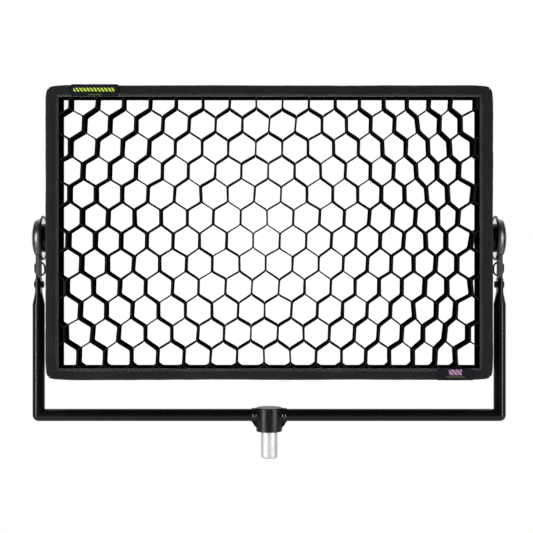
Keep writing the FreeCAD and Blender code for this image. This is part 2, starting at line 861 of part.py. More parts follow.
def rear_cover():
    """The flat back cover, with a window for each heat sink."""
    body = new_body()
    half_w, half_h = "body_w / 2 - 1", "body_h / 2 - 1"
    left, foot = f"-({half_w})", f"-({half_h})"
    plate = [(left, foot), (half_w, foot), (half_w, half_h), (left, half_h)]
    pad(body, sketch(body, "XZ_Plane", plate), "cover_thick")
    doc.recompute()
    for sign in SIDES.values():
        inner, outer = f"{sign} * sink_x - sink_w / 2 - 3", f"{sign} * sink_x + sink_w / 2 + 3"
        low, high = "-sink_h / 2 - 3", "sink_h / 2 + 3"
        window = [(inner, low), (outer, low), (outer, high), (inner, high)]
        pocket(body, sketch(body, "XZ_Plane", window), "20")
    return keep(put(body, "0", "body_back + cover_thick / 2", HEAD), "rear_cover")


def housing_screws():
    """Low screw heads round the edge of the rear cover."""
    back = "body_back + cover_thick"
    edge_x, edge_z = "(body_w / 2 - 7)", "(body_h / 2 - 6)"
    spots = [(across, up) for across in (-1, -0.5, 0, 0.5, 1) for up in (-1, 1)]
    spots += [(across, up) for across in (-1, 1) for up in (-0.5, 0.5)]
    pieces = []
    for across, up in spots:
        place = (f"{across} * {edge_x}", f"{HEAD} + {up} * {edge_z}")
        pieces.append(rod("3.4", back, f"{back} + 1.8", "y", place))
    return keep(group(*pieces), "housing_screws")


# ---------------------------------------------------------------- electronics and controls


def driver_case():
    """The driver's case on the rear cover: a deep tray, open at its back."""
    start = "body_back + cover_thick"
    outer = block(
        ("-case_w / 2", "case_w / 2"),
        (start, f"{start} + case_depth"),
        (f"{HEAD} - case_h / 2", f"{HEAD} + case_h / 2"),
    )
    inner = block(
        ("-case_w / 2 + case_wall", "case_w / 2 - case_wall"),
        (f"{start} + case_wall", f"{start} + case_depth + 1"),
        (f"{HEAD} - case_h / 2 + case_wall", f"{HEAD} + case_h / 2 - case_wall"),
    )
    return keep(cut(outer, inner), "driver_case")


LID_FACE = "(body_back + cover_thick + case_depth + lid_thick)"

# Where each control sits on the lid: how far across from its middle and up from its middle.
CONTROLS = {
    "dimmer_knob": (-55, 40),
    "colour_knob": (55, 40),
    "up_button": (-14, 40),
    "down_button": (14, 40),
}
ROCKER_TIP = 8
INLET = (-60, -125)
SWITCH = (58, -125)
SOCKETS = ((-28, -125), (8, -125))


def driver_lid():
    """The lid of the case, which carries the controls and the sockets."""
    start = "(body_back + cover_thick + case_depth)"
    body = new_body()
    half_w, half_h = "case_w / 2", "case_h / 2"
    plate = [(f"-{half_w}", f"-{half_h}"), (half_w, f"-{half_h}"), (half_w, half_h), (f"-{half_w}", half_h)]
    pad(body, sketch(body, "XZ_Plane", plate), "lid_thick")
    doc.recompute()
    # The sketches are drawn on the body's own XZ plane, so X there is the same way as the assembly's.
    for name, (x, z) in CONTROLS.items():
        radius = "3.06" if "knob" in name else "5.3"
        pocket(body, circle_sketch(body, "XZ_Plane", radius, (str(x), str(z))), "20")
    for x, z in SOCKETS:
        pocket(body, circle_sketch(body, "XZ_Plane", "12", (str(x), str(z))), "20")
    for (x, z), (half_x, half_z) in ((INLET, (12, 14)), (SWITCH, (10.5, 13.5)), ((0, 95), (32.8, 16.8))):
        signs = ((-1, -1), (1, -1), (1, 1), (-1, 1))
        hole = [(x + a * half_x, z + b * half_z) for a, b in signs]
        pocket(body, sketch(body, "XZ_Plane", [(str(a), str(b)) for a, b in hole]), "20")
    return keep(put(body, "0", f"{start} + lid_thick / 2", HEAD), "driver_lid")


def on_lid(spot):
    """A place on the lid as expressions of X and Z."""
    return str(spot[0]), f"{HEAD} + ({spot[1]})"


def rear_block(spot, half_x, half_z, low, high):
    """A box on the lid, its depth measured out from the lid's face."""
    x, z = spot
    return block(
        (str(x - half_x), str(x + half_x)),
        (f"{LID_FACE} + ({low})", f"{LID_FACE} + ({high})"),
        (f"{HEAD} + ({z - half_z})", f"{HEAD} + ({z + half_z})"),
    )


def rear_rod(spot, radius, low, high):
    return rod(str(radius), f"{LID_FACE} + ({low})", f"{LID_FACE} + ({high})", "y", on_lid(spot))


def display_window():
    return keep(rear_block((0, 95), 32.8, 16.8, -3, 1.2), "display_window")


def control_knob(name):
    """A turning knob on the lid: a skirted cap on a shaft, with a pointer groove."""
    spot = CONTROLS[name]
    shaft = rear_rod(spot, 3, -8, 2)
    skirt = rear_rod(spot, 12, 0.6, 3)
    cap = rear_rod(spot, 9.5, 3, 16)
    groove = rear_block((spot[0], spot[1] + 7), 0.7, 4, 15.2, 17)
    return keep(cut(fuse(shaft, skirt, cap), groove), name)


def push_button(name):
    """A push button: a cap on a flanged stem that keeps it behind the lid."""
    spot = CONTROLS[name]
    return keep(fuse(rear_rod(spot, 5, -5, 3), rear_rod(spot, 6.5, -6.6, -4.8)), name)


def power_rocker():
    """The rocker of the power switch, pivoted on a level pin through its middle."""
    x, z = SWITCH
    body = new_body()
    outer = [("0", "-11"), ("2.6", "-11"), ("0.9", "0"), ("2.6", "11"), ("0", "11")]
    profile = [*outer, ("-7", "4"), ("-7", "-4")]
    pad(body, sketch(body, "YZ_Plane", profile), "14")
    rocker = fuse(body, rod("1.5", "-9", "9", "x"))
    tipped = Rotation(X_AXIS, ROCKER_TIP)
    return keep(put(rocker, str(x), LID_FACE, f"{HEAD} + ({z})", turn=tipped), "power_rocker")


def switch_frame():
    """The frame of the power switch, snapped into the lid."""
    frame = fuse(rear_block(SWITCH, 10.4, 13.4, -12, 0), rear_block(SWITCH, 12.5, 15.5, 0, 1.6))
    opening = rear_block(SWITCH, 7.3, 12.2, -9, 3)
    x, z = SWITCH
    bearing = rod("1.55", str(x - 9.3), str(x + 9.3), "x", (LID_FACE, f"{HEAD} + ({z})"))
    return keep(cut(frame, opening, bearing), "switch_frame")


def mains_inlet():
    """The mains inlet: a flanged moulding with a recess and three pins."""
    shell = fuse(rear_block(INLET, 11.8, 13.8, -22, 0), rear_block(INLET, 15, 17, 0, 2.4))
    recess = rear_block(INLET, 9, 11, -16, 4)
    blades = [(INLET[0] + x, INLET[1] + z) for x, z in ((-4, -3), (4, -3), (0, 4))]
    pins = [rear_block(spot, 0.9, 1.9, -16.5, -3) for spot in blades]
    return keep(fuse(cut(shell, recess), *pins), "mains_inlet")


def control_sockets():
    """The two round control-signal sockets, in and through."""
    pieces = []
    for spot in SOCKETS:
        shell = fuse(rear_rod(spot, 11.8, -16, 0), rear_block(spot, 13, 15.5, 0, 2))
        core = rear_rod(spot, 8, -12, 4)
        insert = rear_rod(spot, 6.2, -12.5, -1)
        pieces.append(fuse(cut(shell, core), insert))
    return keep(group(*pieces), "control_sockets")


def power_supply():
    """The mains power supply inside the case."""
    start = "(body_back + cover_thick + case_wall)"
    unit = block(("-88", "88"), (start, f"{start} + 22"), (f"{HEAD} - 90", f"{HEAD} + 60"))
    return keep(unit, "power_supply")


def driver_board():
    """The circuit board that dims the diodes, with its capacitors and coils."""
    start = "(body_back + cover_thick + case_wall)"
    lift = f"{start} + 5"
    pieces = [block(("-88", "88"), (lift, f"{lift} + 1.6"), (f"{HEAD} + 70", f"{HEAD} + 160"))]
    capacitors = [(-60, 90, 8, 15), (-36, 90, 8, 15), (-12, 90, 8, 15), (30, 140, 11, 9), (62, 140, 11, 9)]
    for x, z, radius, tall in capacitors:
        spot = (str(x), f"{HEAD} + {z}")
        pieces.append(rod(str(radius), f"{lift} + 1.6", f"{lift} + {1.6 + tall}", "y", spot))
    return keep(fuse(*pieces), "driver_board")


def rear_handle(side):
    """A bent tube handle on the back, with a foot flange at each end."""
    start = "body_back + cover_thick"
    reach, half, bend = "handle_reach", "handle_half", "handle_bend"
    body = new_body()
    path = sketch(
        body,
        "YZ_Plane",
        [
            ("0", f"-{half}"),
            (f"{reach} - {bend}", f"-{half}", bend),
            (reach, f"-{half} + {bend}"),
            (reach, f"{half} - {bend}", bend),
            (f"{reach} - {bend}", half),
            ("0", half),
        ],
        closed=False,
    )
    section = circle_sketch(body, "XZ_Plane", "handle_dia / 2", ("0", f"-{half}"))
    pipe = body.newObject("PartDesign::AdditivePipe", "bent_tube")
    pipe.Profile = section
    pipe.Spine = path
    doc.recompute()
    feet = [rod("9", "0", "3", "y", ("0", f"{sign} * {half}")) for sign in (-1, 1)]
    handle = fuse(body, *feet)
    return keep(put(handle, f"{SIDES[side]} * handle_x", start, HEAD), f"rear_handle_{side}")


# ---------------------------------------------------------------- fabric honeycomb grid


def grid_borders():
    """The padded fabric border: four deep bars, mitred at the corners."""
    strips = mitred_frame("grid_w", "grid_h", "mouth_w", "mouth_h", "-grid_front", "(-grid_back)")
    for strip, side in zip(strips, ("top", "bottom", "left", "right")):
        keep(strip, f"grid_border_{side}")


def around(outer_w, outer_h, thick, front, back, short):
    """Four strips that lie on the sides of a box, each short of its ends by a clearance."""
    half_w, half_h = f"{outer_w} / 2", f"{outer_h} / 2"
    depth = (front, back)
    level = (f"-({half_w}) + {short}", f"{half_w} - {short}")
    upright = (f"{HEAD} - {half_h} + {short}", f"{HEAD} + {half_h} - {short}")
    strips = []
    for sign in (1, -1):
        outer, inner = f"{HEAD} + {sign} * ({half_h})", f"{HEAD} + {sign} * ({half_h} - {thick})"
        strips.append(block(level, depth, (inner, outer) if sign > 0 else (outer, inner)))
        outer, inner = f"{sign} * ({half_w})", f"{sign} * ({half_w} - {thick})"
        strips.append(block((inner, outer) if sign > 0 else (outer, inner), depth, upright))
    return strips


def skirt_flaps():
    """Four fabric flaps that reach back from the border over the sides of the housing."""
    flaps = around("grid_w", "grid_h", "skirt_thick", "-grid_back", "-skirt_end", "3")
    return keep(group(*flaps), "skirt_flaps")


def hook_tape():
    """Hook tape sewn inside the flaps."""
    inner_w, inner_h = "(grid_w - 2 * skirt_thick)", "(grid_h - 2 * skirt_thick)"
    strips = around(inner_w, inner_h, "tape_thick", "-tape_front", "-skirt_end - 2", "24")
    return keep(group(*strips), "hook_tape")


def loop_tape():
    """Loop tape stuck round the front of the housing."""
    width, height = "(body_w + 2 * tape_thick)", "(body_h + 2 * tape_thick)"
    strips = around(width, height, "tape_thick", "-tape_front", "-skirt_end - 2", "24")
    return keep(group(*strips), "loop_tape")


def gathered(across, up):
    """Where a point of the even web ends up: the web crowds in at its right-hand end, and leans a little."""
    drawn, reach = (37.7, 355) if across > 0 else (-4, 300)
    crowded = across - drawn * min(1, abs(across) / reach) ** 2.2
    return crowded + value("web_shift") + value("web_lean") * up


def honeycomb():
    """The grid's fabric cells: hexagons with upright walls, cut off by the border on every side."""
    side, wall = value("cell_side"), value("cell_wall")
    pitch, rise = side * math.sqrt(3), side * 1.5
    front, back = -value("cell_front"), -value("cell_back")
    half_w, half_h = value("mouth_w / 2"), value("mouth_h / 2")
    frame = Part.makePlane(2 * half_w, 2 * half_h, Vector(-half_w, front, half_h), Vector(0, 1, 0), X_AXIS)
    trim_w, trim_h = half_w - 1, half_h - 1
    window = Part.makePlane(2 * trim_w, 2 * trim_h, Vector(-trim_w, front, trim_h), Vector(0, 1, 0), X_AXIS)
    radius = side - wall / math.sqrt(3)
    cells = []
    for row in range(-7, 7):
        up = value("cell_rise") + row * rise
        for column in range(-10, 11):
            across = (column + 0.5 * (row % 2 == 0)) * pitch
            corners = []
            for k in range(6):
                angle = math.radians(60 * k + 30)
                z = up + radius * math.sin(angle)
                corners.append(Vector(gathered(across + radius * math.cos(angle), z), front, z))
            if any(abs(c.x) < trim_w and abs(c.z) < trim_h for c in corners):
                cells.append(Part.Face(Part.makePolygon(corners + corners[:1])))
    holes = Part.makeCompound(cells).common(window)
    walls = frame.cut(holes).extrude(Vector(0, back - front, 0))
    return keep(put(feature(walls), "0", "0", HEAD), "honeycomb")


# ---------------------------------------------------------------- build


def build():
    hub_casting()
    spigot()
    hub_screws()
    mitred_bar()
    lug_bolts()
    dish_plates()
    friction_washers()
    hub_bolts()
    for side in SIDES:
        yoke_arm(side)
        yoke_lug(side)
        side_hub(side)
        pivot_stud(side)
        pivot_collar(side)
        thrust_washer(side)
        tilt_knob(side)
        safety_link(side)
        side_rail(side)
        heat_sink(side)
        rear_handle(side)
    front_bezel()
    level_rail("top_rail", 1)
    level_rail("bottom_rail", -1)
    diffuser_panel()
    reflector_box()
    led_boards()
    back_plate()
    rear_cover()
    housing_screws()
    driver_case()
    driver_lid()
    display_window()
    for name in CONTROLS:
        if "knob" in name:
            control_knob(name)
        else:
            push_button(name)
    power_rocker()
    switch_frame()
    mains_inlet()
    control_sockets()
    power_supply()
    driver_board()
    grid_borders()
    skirt_flaps()
    hook_tape()
    loop_tape()
    honeycomb()


def write_parts():
    """Checks every object and part, and writes one STEP file for each part."""
    doc.recompute()
    failed = [o.Label for o in doc.Objects if {"Invalid", "Error"} & set(o.State)]
    if failed:
        raise SystemExit(f"these objects failed: {failed}")
    for part in PARTS:
        shape = part.Shape
        if shape.isNull() or not shape.isValid() or not shape.Solids:
            raise SystemExit(f"{part.Label} has no valid solid")
    os.makedirs("parts", exist_ok=True)
    for part in PARTS:
        part.Shape.exportStep(f"parts/{part.Label}.step")
        print(part.Label, len(part.Shape.Solids), round(part.Shape.Volume / 1000, 2), "cm3")


build()
write_parts()
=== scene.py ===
"""The looks of a soft LED panel light with a fabric honeycomb grid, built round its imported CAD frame.

Metres, in the row frame: +Z is up, the light shines along -Y, and the origin is on the spigot's axis.
"""

import math
import random

import bpy
import numpy as np
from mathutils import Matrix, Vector, noise


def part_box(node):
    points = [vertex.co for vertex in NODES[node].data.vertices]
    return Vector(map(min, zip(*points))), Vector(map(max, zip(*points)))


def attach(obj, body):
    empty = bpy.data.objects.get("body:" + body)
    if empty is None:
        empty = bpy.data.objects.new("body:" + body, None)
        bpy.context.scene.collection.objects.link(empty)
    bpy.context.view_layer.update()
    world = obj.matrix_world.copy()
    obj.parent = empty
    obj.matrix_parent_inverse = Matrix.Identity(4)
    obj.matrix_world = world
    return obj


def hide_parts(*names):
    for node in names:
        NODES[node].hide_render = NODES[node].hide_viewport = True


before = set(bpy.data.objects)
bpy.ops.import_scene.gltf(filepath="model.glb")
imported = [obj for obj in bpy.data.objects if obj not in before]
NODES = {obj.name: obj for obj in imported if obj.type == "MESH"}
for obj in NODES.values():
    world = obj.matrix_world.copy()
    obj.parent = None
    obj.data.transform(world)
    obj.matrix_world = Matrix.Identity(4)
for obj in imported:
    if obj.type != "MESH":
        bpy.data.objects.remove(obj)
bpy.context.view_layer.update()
SCENE = bpy.context.scene
MM = 0.001
# Without a seed, the noise's offsets are different in every run.
noise.seed_set(4)


# ---------------------------------------------------------------- shader helpers


def node(tree, kind, inputs=None, **settings):
    """A shader node, with each input set to a value or joined to another node's socket."""
    made = tree.nodes.new("ShaderNode" + kind)
    for key, value in settings.items():
        setattr(made, key, value)
    for key, value in (inputs or {}).items():
        if isinstance(value, bpy.types.NodeSocket):
            tree.links.new(value, made.inputs[key])
        else:
            made.inputs[key].default_value = value
    return made


def shade(name, **values):
    """A new material's tree and a function that sets or joins sockets of its shader."""
    mat = bpy.data.materials.new(name)
    mat.use_nodes = True
    tree = mat.node_tree
    shader = tree.nodes["Principled BSDF"]

    def feed(**sockets):
        for key, value in sockets.items():
            socket = shader.inputs[key.replace("_", " ")]
            if isinstance(value, bpy.types.NodeSocket):
                tree.links.new(value, socket)
            else:
                socket.default_value = value

    feed(**values)
    return mat, tree, feed


def rgb(*values):
    return (*values, 1.0) if len(values) == 3 else (values[0],) * 3 + (1.0,)


def scaled(colour, times):
    """The colour made darker or brighter."""
    return rgb(*[c * times for c in colour])


def rest(tree, stretch=(1, 1, 1)):
    """Coordinates on the piece at rest, in metres, stretched along the axes."""
    where = node(tree, "TexCoord").outputs["Object"]
    return node(tree, "Mapping", {"Vector": where, "Scale": stretch}).outputs[0]


def cloud(tree, scale, detail=4.0, rough=0.6, stretch=(1, 1, 1), where=None):
    """Noise from 0 to 1, with features about one over scale metres across."""
    where = where or rest(tree, stretch)
    inputs = {"Vector": where, "Scale": scale, "Detail": detail, "Roughness": rough}
    return node(tree, "TexNoise", inputs).outputs[0]


def spread(tree, value, low, high, to_low=0.0, to_high=1.0):
    inputs = {"Value": value, "From Min": low, "From Max": high, "To Min": to_low, "To Max": to_high}
    return node(tree, "MapRange", inputs).outputs[0]


def calc(tree, operation, first, second=0.0):
    return node(tree, "Math", {0: first, 1: second}, operation=operation).outputs[0]


def blend(tree, share, first, second):
    """One colour turning into another."""
    return node(tree, "Mix", {0: share, 6: first, 7: second}, data_type="RGBA").outputs[2]


def bump(tree, height, depth, normal=None, strength=1.0):
    inputs = {"Height": height, "Distance": depth, "Strength": strength}
    if normal is not None:
        inputs["Normal"] = normal
    return node(tree, "Bump", inputs).outputs[0]


def eased(tree, radius):
    """A normal that rounds the hard edges by radius, and 1 along those edges."""
    soft = node(tree, "Bevel", {"Radius": radius}, samples=4).outputs[0]
    own = node(tree, "NewGeometry").outputs["Normal"]
    lean = node(tree, "VectorMath", {0: soft, 1: own}, operation="DOT_PRODUCT").outputs["Value"]
    return soft, spread(tree, lean, 0.97, 0.74)


# ---------------------------------------------------------------- finishes


def coated(name, colour, rough, grain, depth, level=0.5, bare=0.22, chips=0.62):
    """Painted or powder-coated metal: an orange-peel grain, and edges rubbed towards bare metal."""
    mat, tree, feed = shade(name, Specular_IOR_Level=level)
    soft, edge = eased(tree, 0.7 * MM)
    fine = cloud(tree, grain, 3)
    broad = cloud(tree, 24, 5)
    patchy = cloud(tree, 420, 4)
    rubbed = calc(tree, "MULTIPLY", edge, spread(tree, patchy, chips - 0.06, chips + 0.08))
    tone = blend(tree, spread(tree, broad, 0.3, 0.7), scaled(colour, 0.8), scaled(colour, 1.25))
    tone = blend(tree, spread(tree, fine, 0.55, 0.8, 0, 0.35), tone, scaled(colour, 2.0))
    grit = calc(tree, "MULTIPLY", fine, 0.05)
    feed(
        Base_Color=blend(tree, rubbed, tone, rgb(bare)),
        Metallic=calc(tree, "MULTIPLY", rubbed, 0.8),
        Roughness=calc(tree, "ADD", spread(tree, broad, 0.3, 0.7, rough - 0.04, rough + 0.05), grit),
        Normal=bump(tree, fine, depth, soft),
    )
    return mat


def metal(name, colour, rough, stretch, depth, metallic=1.0, grime=0.25, scale=160):
    """Bare or plated metal, with tool marks drawn out along one direction, darker smudges and lighter
    edges.
    """
    mat, tree, feed = shade(name)
    soft, edge = eased(tree, 0.4 * MM)
    lines = cloud(tree, scale, 5, 0.7, stretch)
    smudge = cloud(tree, 60, 6)
    tone = blend(tree, spread(tree, lines, 0.3, 0.7), scaled(colour, 0.82), rgb(*colour))
    tone = blend(tree, spread(tree, smudge, 0.55, 0.85, 0, grime), tone, scaled(colour, 0.45))
    tone = blend(tree, calc(tree, "MULTIPLY", edge, 0.4), tone, rgb(*[min(1, c * 1.3) for c in colour]))
    marks = calc(tree, "MULTIPLY", lines, 0.08)
    feed(
        Base_Color=tone,
        Metallic=spread(tree, smudge, 0.5, 0.9, metallic, metallic * 0.85),
        Roughness=calc(tree, "ADD", spread(tree, smudge, 0.3, 0.8, rough - 0.05, rough + 0.1), marks),
        Normal=bump(tree, lines, depth, soft),
    )
    return mat


def moulded(name, colour, rough, grain=900, depth=0.00008, coat=0.0, coat_rough=0.08, level=0.5):
    """Moulded plastic: a sparked grain, faint flow marks, and polished edges with hairline scuffs."""
    mat, tree, feed = shade(name, Coat_Weight=coat, Coat_Roughness=coat_rough, Specular_IOR_Level=level)
    soft, edge = eased(tree, 0.5 * MM)
    fine = cloud(tree, grain, 2)
    flow = cloud(tree, 30, 4, stretch=(1, 1, 2.5))
    scuff = cloud(tree, 300, 6, 0.8, (6, 1, 1))
    tone = blend(tree, spread(tree, flow, 0.3, 0.7), scaled(colour, 0.85), scaled(colour, 1.2))
    tone = blend(tree, calc(tree, "MULTIPLY", edge, 0.35), tone, scaled(colour, 2.2))
    marks = spread(tree, scuff, 0.68, 0.8, 0, 0.12)
    feed(
        Base_Color=tone,
        Roughness=calc(tree, "ADD", spread(tree, flow, 0.3, 0.7, rough - 0.03, rough + 0.05), marks),
        Normal=bump(tree, fine, depth, soft),
    )
    return mat


def threads(tree, pitch):
    """A plain weave's height from 0 to 1, and the piece's thread coordinates: both, across and along."""
    strand = node(tree, "Attribute", attribute_name="thread").outputs["Vector"]
    across, along, _ = node(tree, "SeparateXYZ", {0: strand}).outputs
    over = calc(tree, "SINE", calc(tree, "MULTIPLY", across, math.pi / pitch))
    under = calc(tree, "SINE", calc(tree, "MULTIPLY", along, math.pi / pitch))
    return spread(tree, calc(tree, "MULTIPLY", over, under), -1, 1), strand, across, along


def woven(name, colour, pitch=0.00062, depth=0.00025, sheen=0.25, rough=0.78, lint=0.5, level=0.3):
    """Woven nylon: over-and-under threads of uneven thickness, a little sheen, faded folds and lint."""
    mat, tree, feed = shade(name, Sheen_Weight=sheen, Sheen_Roughness=0.45, Specular_IOR_Level=level)
    weave, strand, _, _ = threads(tree, pitch)
    drawn_out = node(tree, "Mapping", {"Vector": strand, "Scale": (1, 0.12, 1)}).outputs[0]
    slub = cloud(tree, 700, 3, 0.7, where=drawn_out)
    faded = cloud(tree, 16, 5)
    creases = cloud(tree, 90, 5, 0.65)
    specks = cloud(tree, 900, 2)
    tone = blend(tree, spread(tree, faded, 0.32, 0.68), scaled(colour, 0.78), scaled(colour, 1.3))
    # Darker where the weave dips between threads: painted shade in the weave's hollows.
    tone = blend(tree, spread(tree, weave, 0.2, 0.9, 0.35, 0), tone, scaled(colour, 0.4))
    tone = blend(tree, spread(tree, slub, 0.55, 0.8, 0, 0.4), tone, scaled(colour, 2.0))
    tone = blend(tree, spread(tree, specks, 0.76, 0.82, 0, lint), tone, scaled(colour, 4.5))
    height = calc(tree, "ADD", calc(tree, "MULTIPLY", weave, 0.8), calc(tree, "MULTIPLY", slub, 0.5))
    feed(
        Base_Color=tone,
        Roughness=spread(tree, slub, 0.3, 0.7, rough - 0.08, rough + 0.1),
        Normal=bump(tree, height, depth, bump(tree, creases, 0.0007, strength=0.6)),
    )
    return mat


def looped(name, colour, scale, depth):
    """Hook or loop tape: a dense field of little tufts between woven edges."""
    mat, tree, feed = shade(name, Sheen_Weight=0.5, Sheen_Roughness=0.6, Specular_IOR_Level=0.3)
    weave, strand, _, _ = threads(tree, 0.0007)
    tufts = node(tree, "TexVoronoi", {"Vector": strand, "Scale": scale}).outputs["Distance"]
    broad = cloud(tree, 40, 4)
    # Lighter on the tufts' tops and darker in the gaps between them: painted light and shade.
    tone = blend(tree, spread(tree, tufts, 0.1, 0.6), scaled(colour, 1.6), scaled(colour, 0.5))
    tone = blend(tree, spread(tree, broad, 0.4, 0.8, 0, 0.5), tone, scaled(colour, 1.3))
    height = calc(tree, "SUBTRACT", calc(tree, "MULTIPLY", weave, 0.2), tufts)
    feed(
        Base_Color=tone,
        Roughness=spread(tree, broad, 0.3, 0.7, 0.8, 0.95),
        Normal=bump(tree, height, depth),
    )
    return mat


def opal(name):
    """The lit diffuser: opal sheet with faint unevenness, bright enough to show as plain white."""
    mat, tree, feed = shade(name, Specular_IOR_Level=0.4)
    mottle = cloud(tree, 9, 5)
    fine = cloud(tree, 1200, 2)
    tone = blend(tree, spread(tree, mottle, 0.3, 0.7), rgb(0.93, 0.93, 0.92), rgb(0.96, 0.96, 0.96))
    feed(
        Base_Color=tone,
        Roughness=spread(tree, mottle, 0.3, 0.7, 0.42, 0.5),
        Normal=bump(tree, fine, 0.00004),
        Emission_Color=tone,
        Emission_Strength=1.08,
    )
    return mat


def circuit(name, mask, pads):
    """A circuit board: solder mask with traces and pads seen through it."""
    mat, tree, feed = shade(name)
    layout = {"Vector": rest(tree), "Scale": 90.0, "Mortar Size": 0.06}
    cells = node(tree, "TexBrick", layout).outputs["Fac"]
    broad = cloud(tree, 30, 4)
    traces = spread(tree, cells, 0.4, 0.6)
    tone = blend(tree, calc(tree, "MULTIPLY", traces, 0.5), rgb(*mask), rgb(*pads))
    tone = blend(tree, spread(tree, broad, 0.4, 0.8, 0, 0.3), tone, scaled(mask, 0.7))
    feed(
        Base_Color=tone,
        Roughness=spread(tree, broad, 0.3, 0.7, 0.3, 0.42),
        Normal=bump(tree, traces, 0.00006),
    )
    return mat


def window(name):
    """A smoked display window with soft fingerprints and a faint row of level bars behind it."""
    mat, tree, feed = shade(name, Coat_Weight=0.6, Coat_Roughness=0.05)
    smears = cloud(tree, 120, 6, 0.7, (1, 1, 3))
    place = node(tree, "SeparateXYZ", {0: rest(tree)})
    bars = calc(tree, "PINGPONG", calc(tree, "MULTIPLY", place.outputs[0], 260.0), 0.5)
    lit = spread(tree, bars, 0.24, 0.26)
    middle = sum(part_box("display_window"), Vector()) / 2
    half_tall, half_wide, fade = 4.0 * MM, 18.0 * MM, 0.2 * MM
    tall = calc(tree, "ABSOLUTE", calc(tree, "SUBTRACT", place.outputs[2], middle.z))
    wide = calc(tree, "ABSOLUTE", calc(tree, "SUBTRACT", place.outputs[0], middle.x))
    tall = spread(tree, tall, half_tall + fade, half_tall)
    wide = spread(tree, wide, half_wide + fade, half_wide)
    mask = calc(tree, "MULTIPLY", lit, calc(tree, "MULTIPLY", tall, wide))
    tone = blend(tree, spread(tree, smears, 0.4, 0.8), rgb(0.012, 0.02, 0.026), rgb(0.03, 0.04, 0.045))
    feed(
        Base_Color=blend(tree, mask, tone, rgb(0.25, 0.55, 0.6)),
        Roughness=spread(tree, smears, 0.4, 0.8, 0.06, 0.22),
        Emission_Color=blend(tree, mask, rgb(0.0), rgb(0.25, 0.7, 0.8)),
        Emission_Strength=0.25,
        Normal=bump(tree, smears, 0.00002),
    )
    return mat


TURNED = (3, 3, 260)
BRUSHED = (120, 120, 6)
FINISHES = {
    "arms": coated("arm_powder_coat", (0.0016, 0.0016, 0.0019), 0.24, 1500, 0.000008, 0.22, bare=0.04),
    "casting": coated("casting_paint", (0.003, 0.003, 0.0034), 0.3, 900, 0.00018, level=0.26, bare=0.06),
    "housing": coated("housing_powder_coat", (0.016, 0.016, 0.017), 0.42, 1100, 0.00012),
    "cover": coated("cover_powder_coat", (0.026, 0.026, 0.027), 0.6, 700, 0.0003, level=0.4),
    "anodised": metal("anodised_fins", (0.045, 0.046, 0.05), 0.38, (6, 6, 120), 0.00004, metallic=0.8),
    "spigot": metal("turned_spigot", (0.6, 0.6, 0.61), 0.5, TURNED, 0.00008, metallic=0.75, grime=0.2),
    "zinc": metal("zinc_plate", (0.055, 0.056, 0.059), 0.5, BRUSHED, 0.00005, metallic=0.2, grime=0.4),
    "bright": metal("bright_lining", (0.95, 0.95, 0.96), 0.13, (90, 90, 90), 0.00004, grime=0.12),
    "aluminium": metal("mill_aluminium", (0.7, 0.71, 0.72), 0.4, (4, 90, 90), 0.00004),
    "wire": metal("dark_wire", (0.009, 0.009, 0.0095), 0.42, (60, 60, 60), 0.00003, metallic=0.3),
    "screw": metal("screw_steel", (0.06, 0.06, 0.063), 0.22, (200, 200, 200), 0.00003, grime=0.5),
    "black_screw": metal("blackened_steel", (0.07, 0.07, 0.075), 0.3, (200, 200, 200), 0.00003),
    "gloss": moulded("gloss_moulding", (0.004, 0.004, 0.0045), 0.38, 700, 0.00002, 1.0, 0.3),
    "plastic": moulded("textured_moulding", (0.007, 0.007, 0.0075), 0.36, 1100, 0.00012, level=0.35),
    "potted": moulded("potted_case", (0.07, 0.07, 0.078), 0.45),
    "reflector": coated("white_reflector", (0.62, 0.62, 0.61), 0.6, 900, 0.0001, bare=0.5),
    "opal": opal("opal_sheet"),
    "board_white": circuit("led_board", (0.82, 0.82, 0.78), (0.8, 0.62, 0.2)),
    "board_green": circuit("driver_board_mask", (0.02, 0.13, 0.05), (0.35, 0.3, 0.12)),
    "display": window("smoked_window"),
    "border": woven("border_nylon", (0.0078, 0.008, 0.0086), sheen=0.07, level=0.12),
    # A much darker copy of the border nylon for the mouth's inner walls: painted shade.
    "lining": woven("lining_nylon", (0.001, 0.001, 0.0011), sheen=0.0, level=0.0, lint=0.2),
    # The binding tape is about three times lighter than the border: partly wear, partly a painted highlight
    # along the mouth's edge.
    "binding": woven("binding_tape_worn_and_lit", (0.022, 0.0223, 0.0235), 0.0005, sheen=0.25, level=0.2),
    # Two copies of the web nylon: a darker one for the walls, painted shade in the cells, and a lighter one
    # for the strips' front edges, painted light.
    "web": woven("grid_web_nylon_shaded", (0.0026, 0.0026, 0.0028), 0.0007, sheen=0.0, level=0.0, lint=0.12),
    "web_front_lit": woven("web_front_nylon_lit", (0.0065, 0.0066, 0.007), 0.0006, sheen=0.04, level=0.04, lint=0.2),
    "skirt": woven("skirt_nylon", (0.01, 0.0102, 0.0108), sheen=0.1, level=0.15),
    "hook": looped("hook_tape_nylon", (0.03, 0.03, 0.031), 700, 0.0006),
    "loop": looped("loop_tape_nylon", (0.035, 0.035, 0.036), 1300, 0.0004),
    "thread": woven("sewing_thread", (0.045, 0.045, 0.048), pitch=0.0004, sheen=0.4),
}
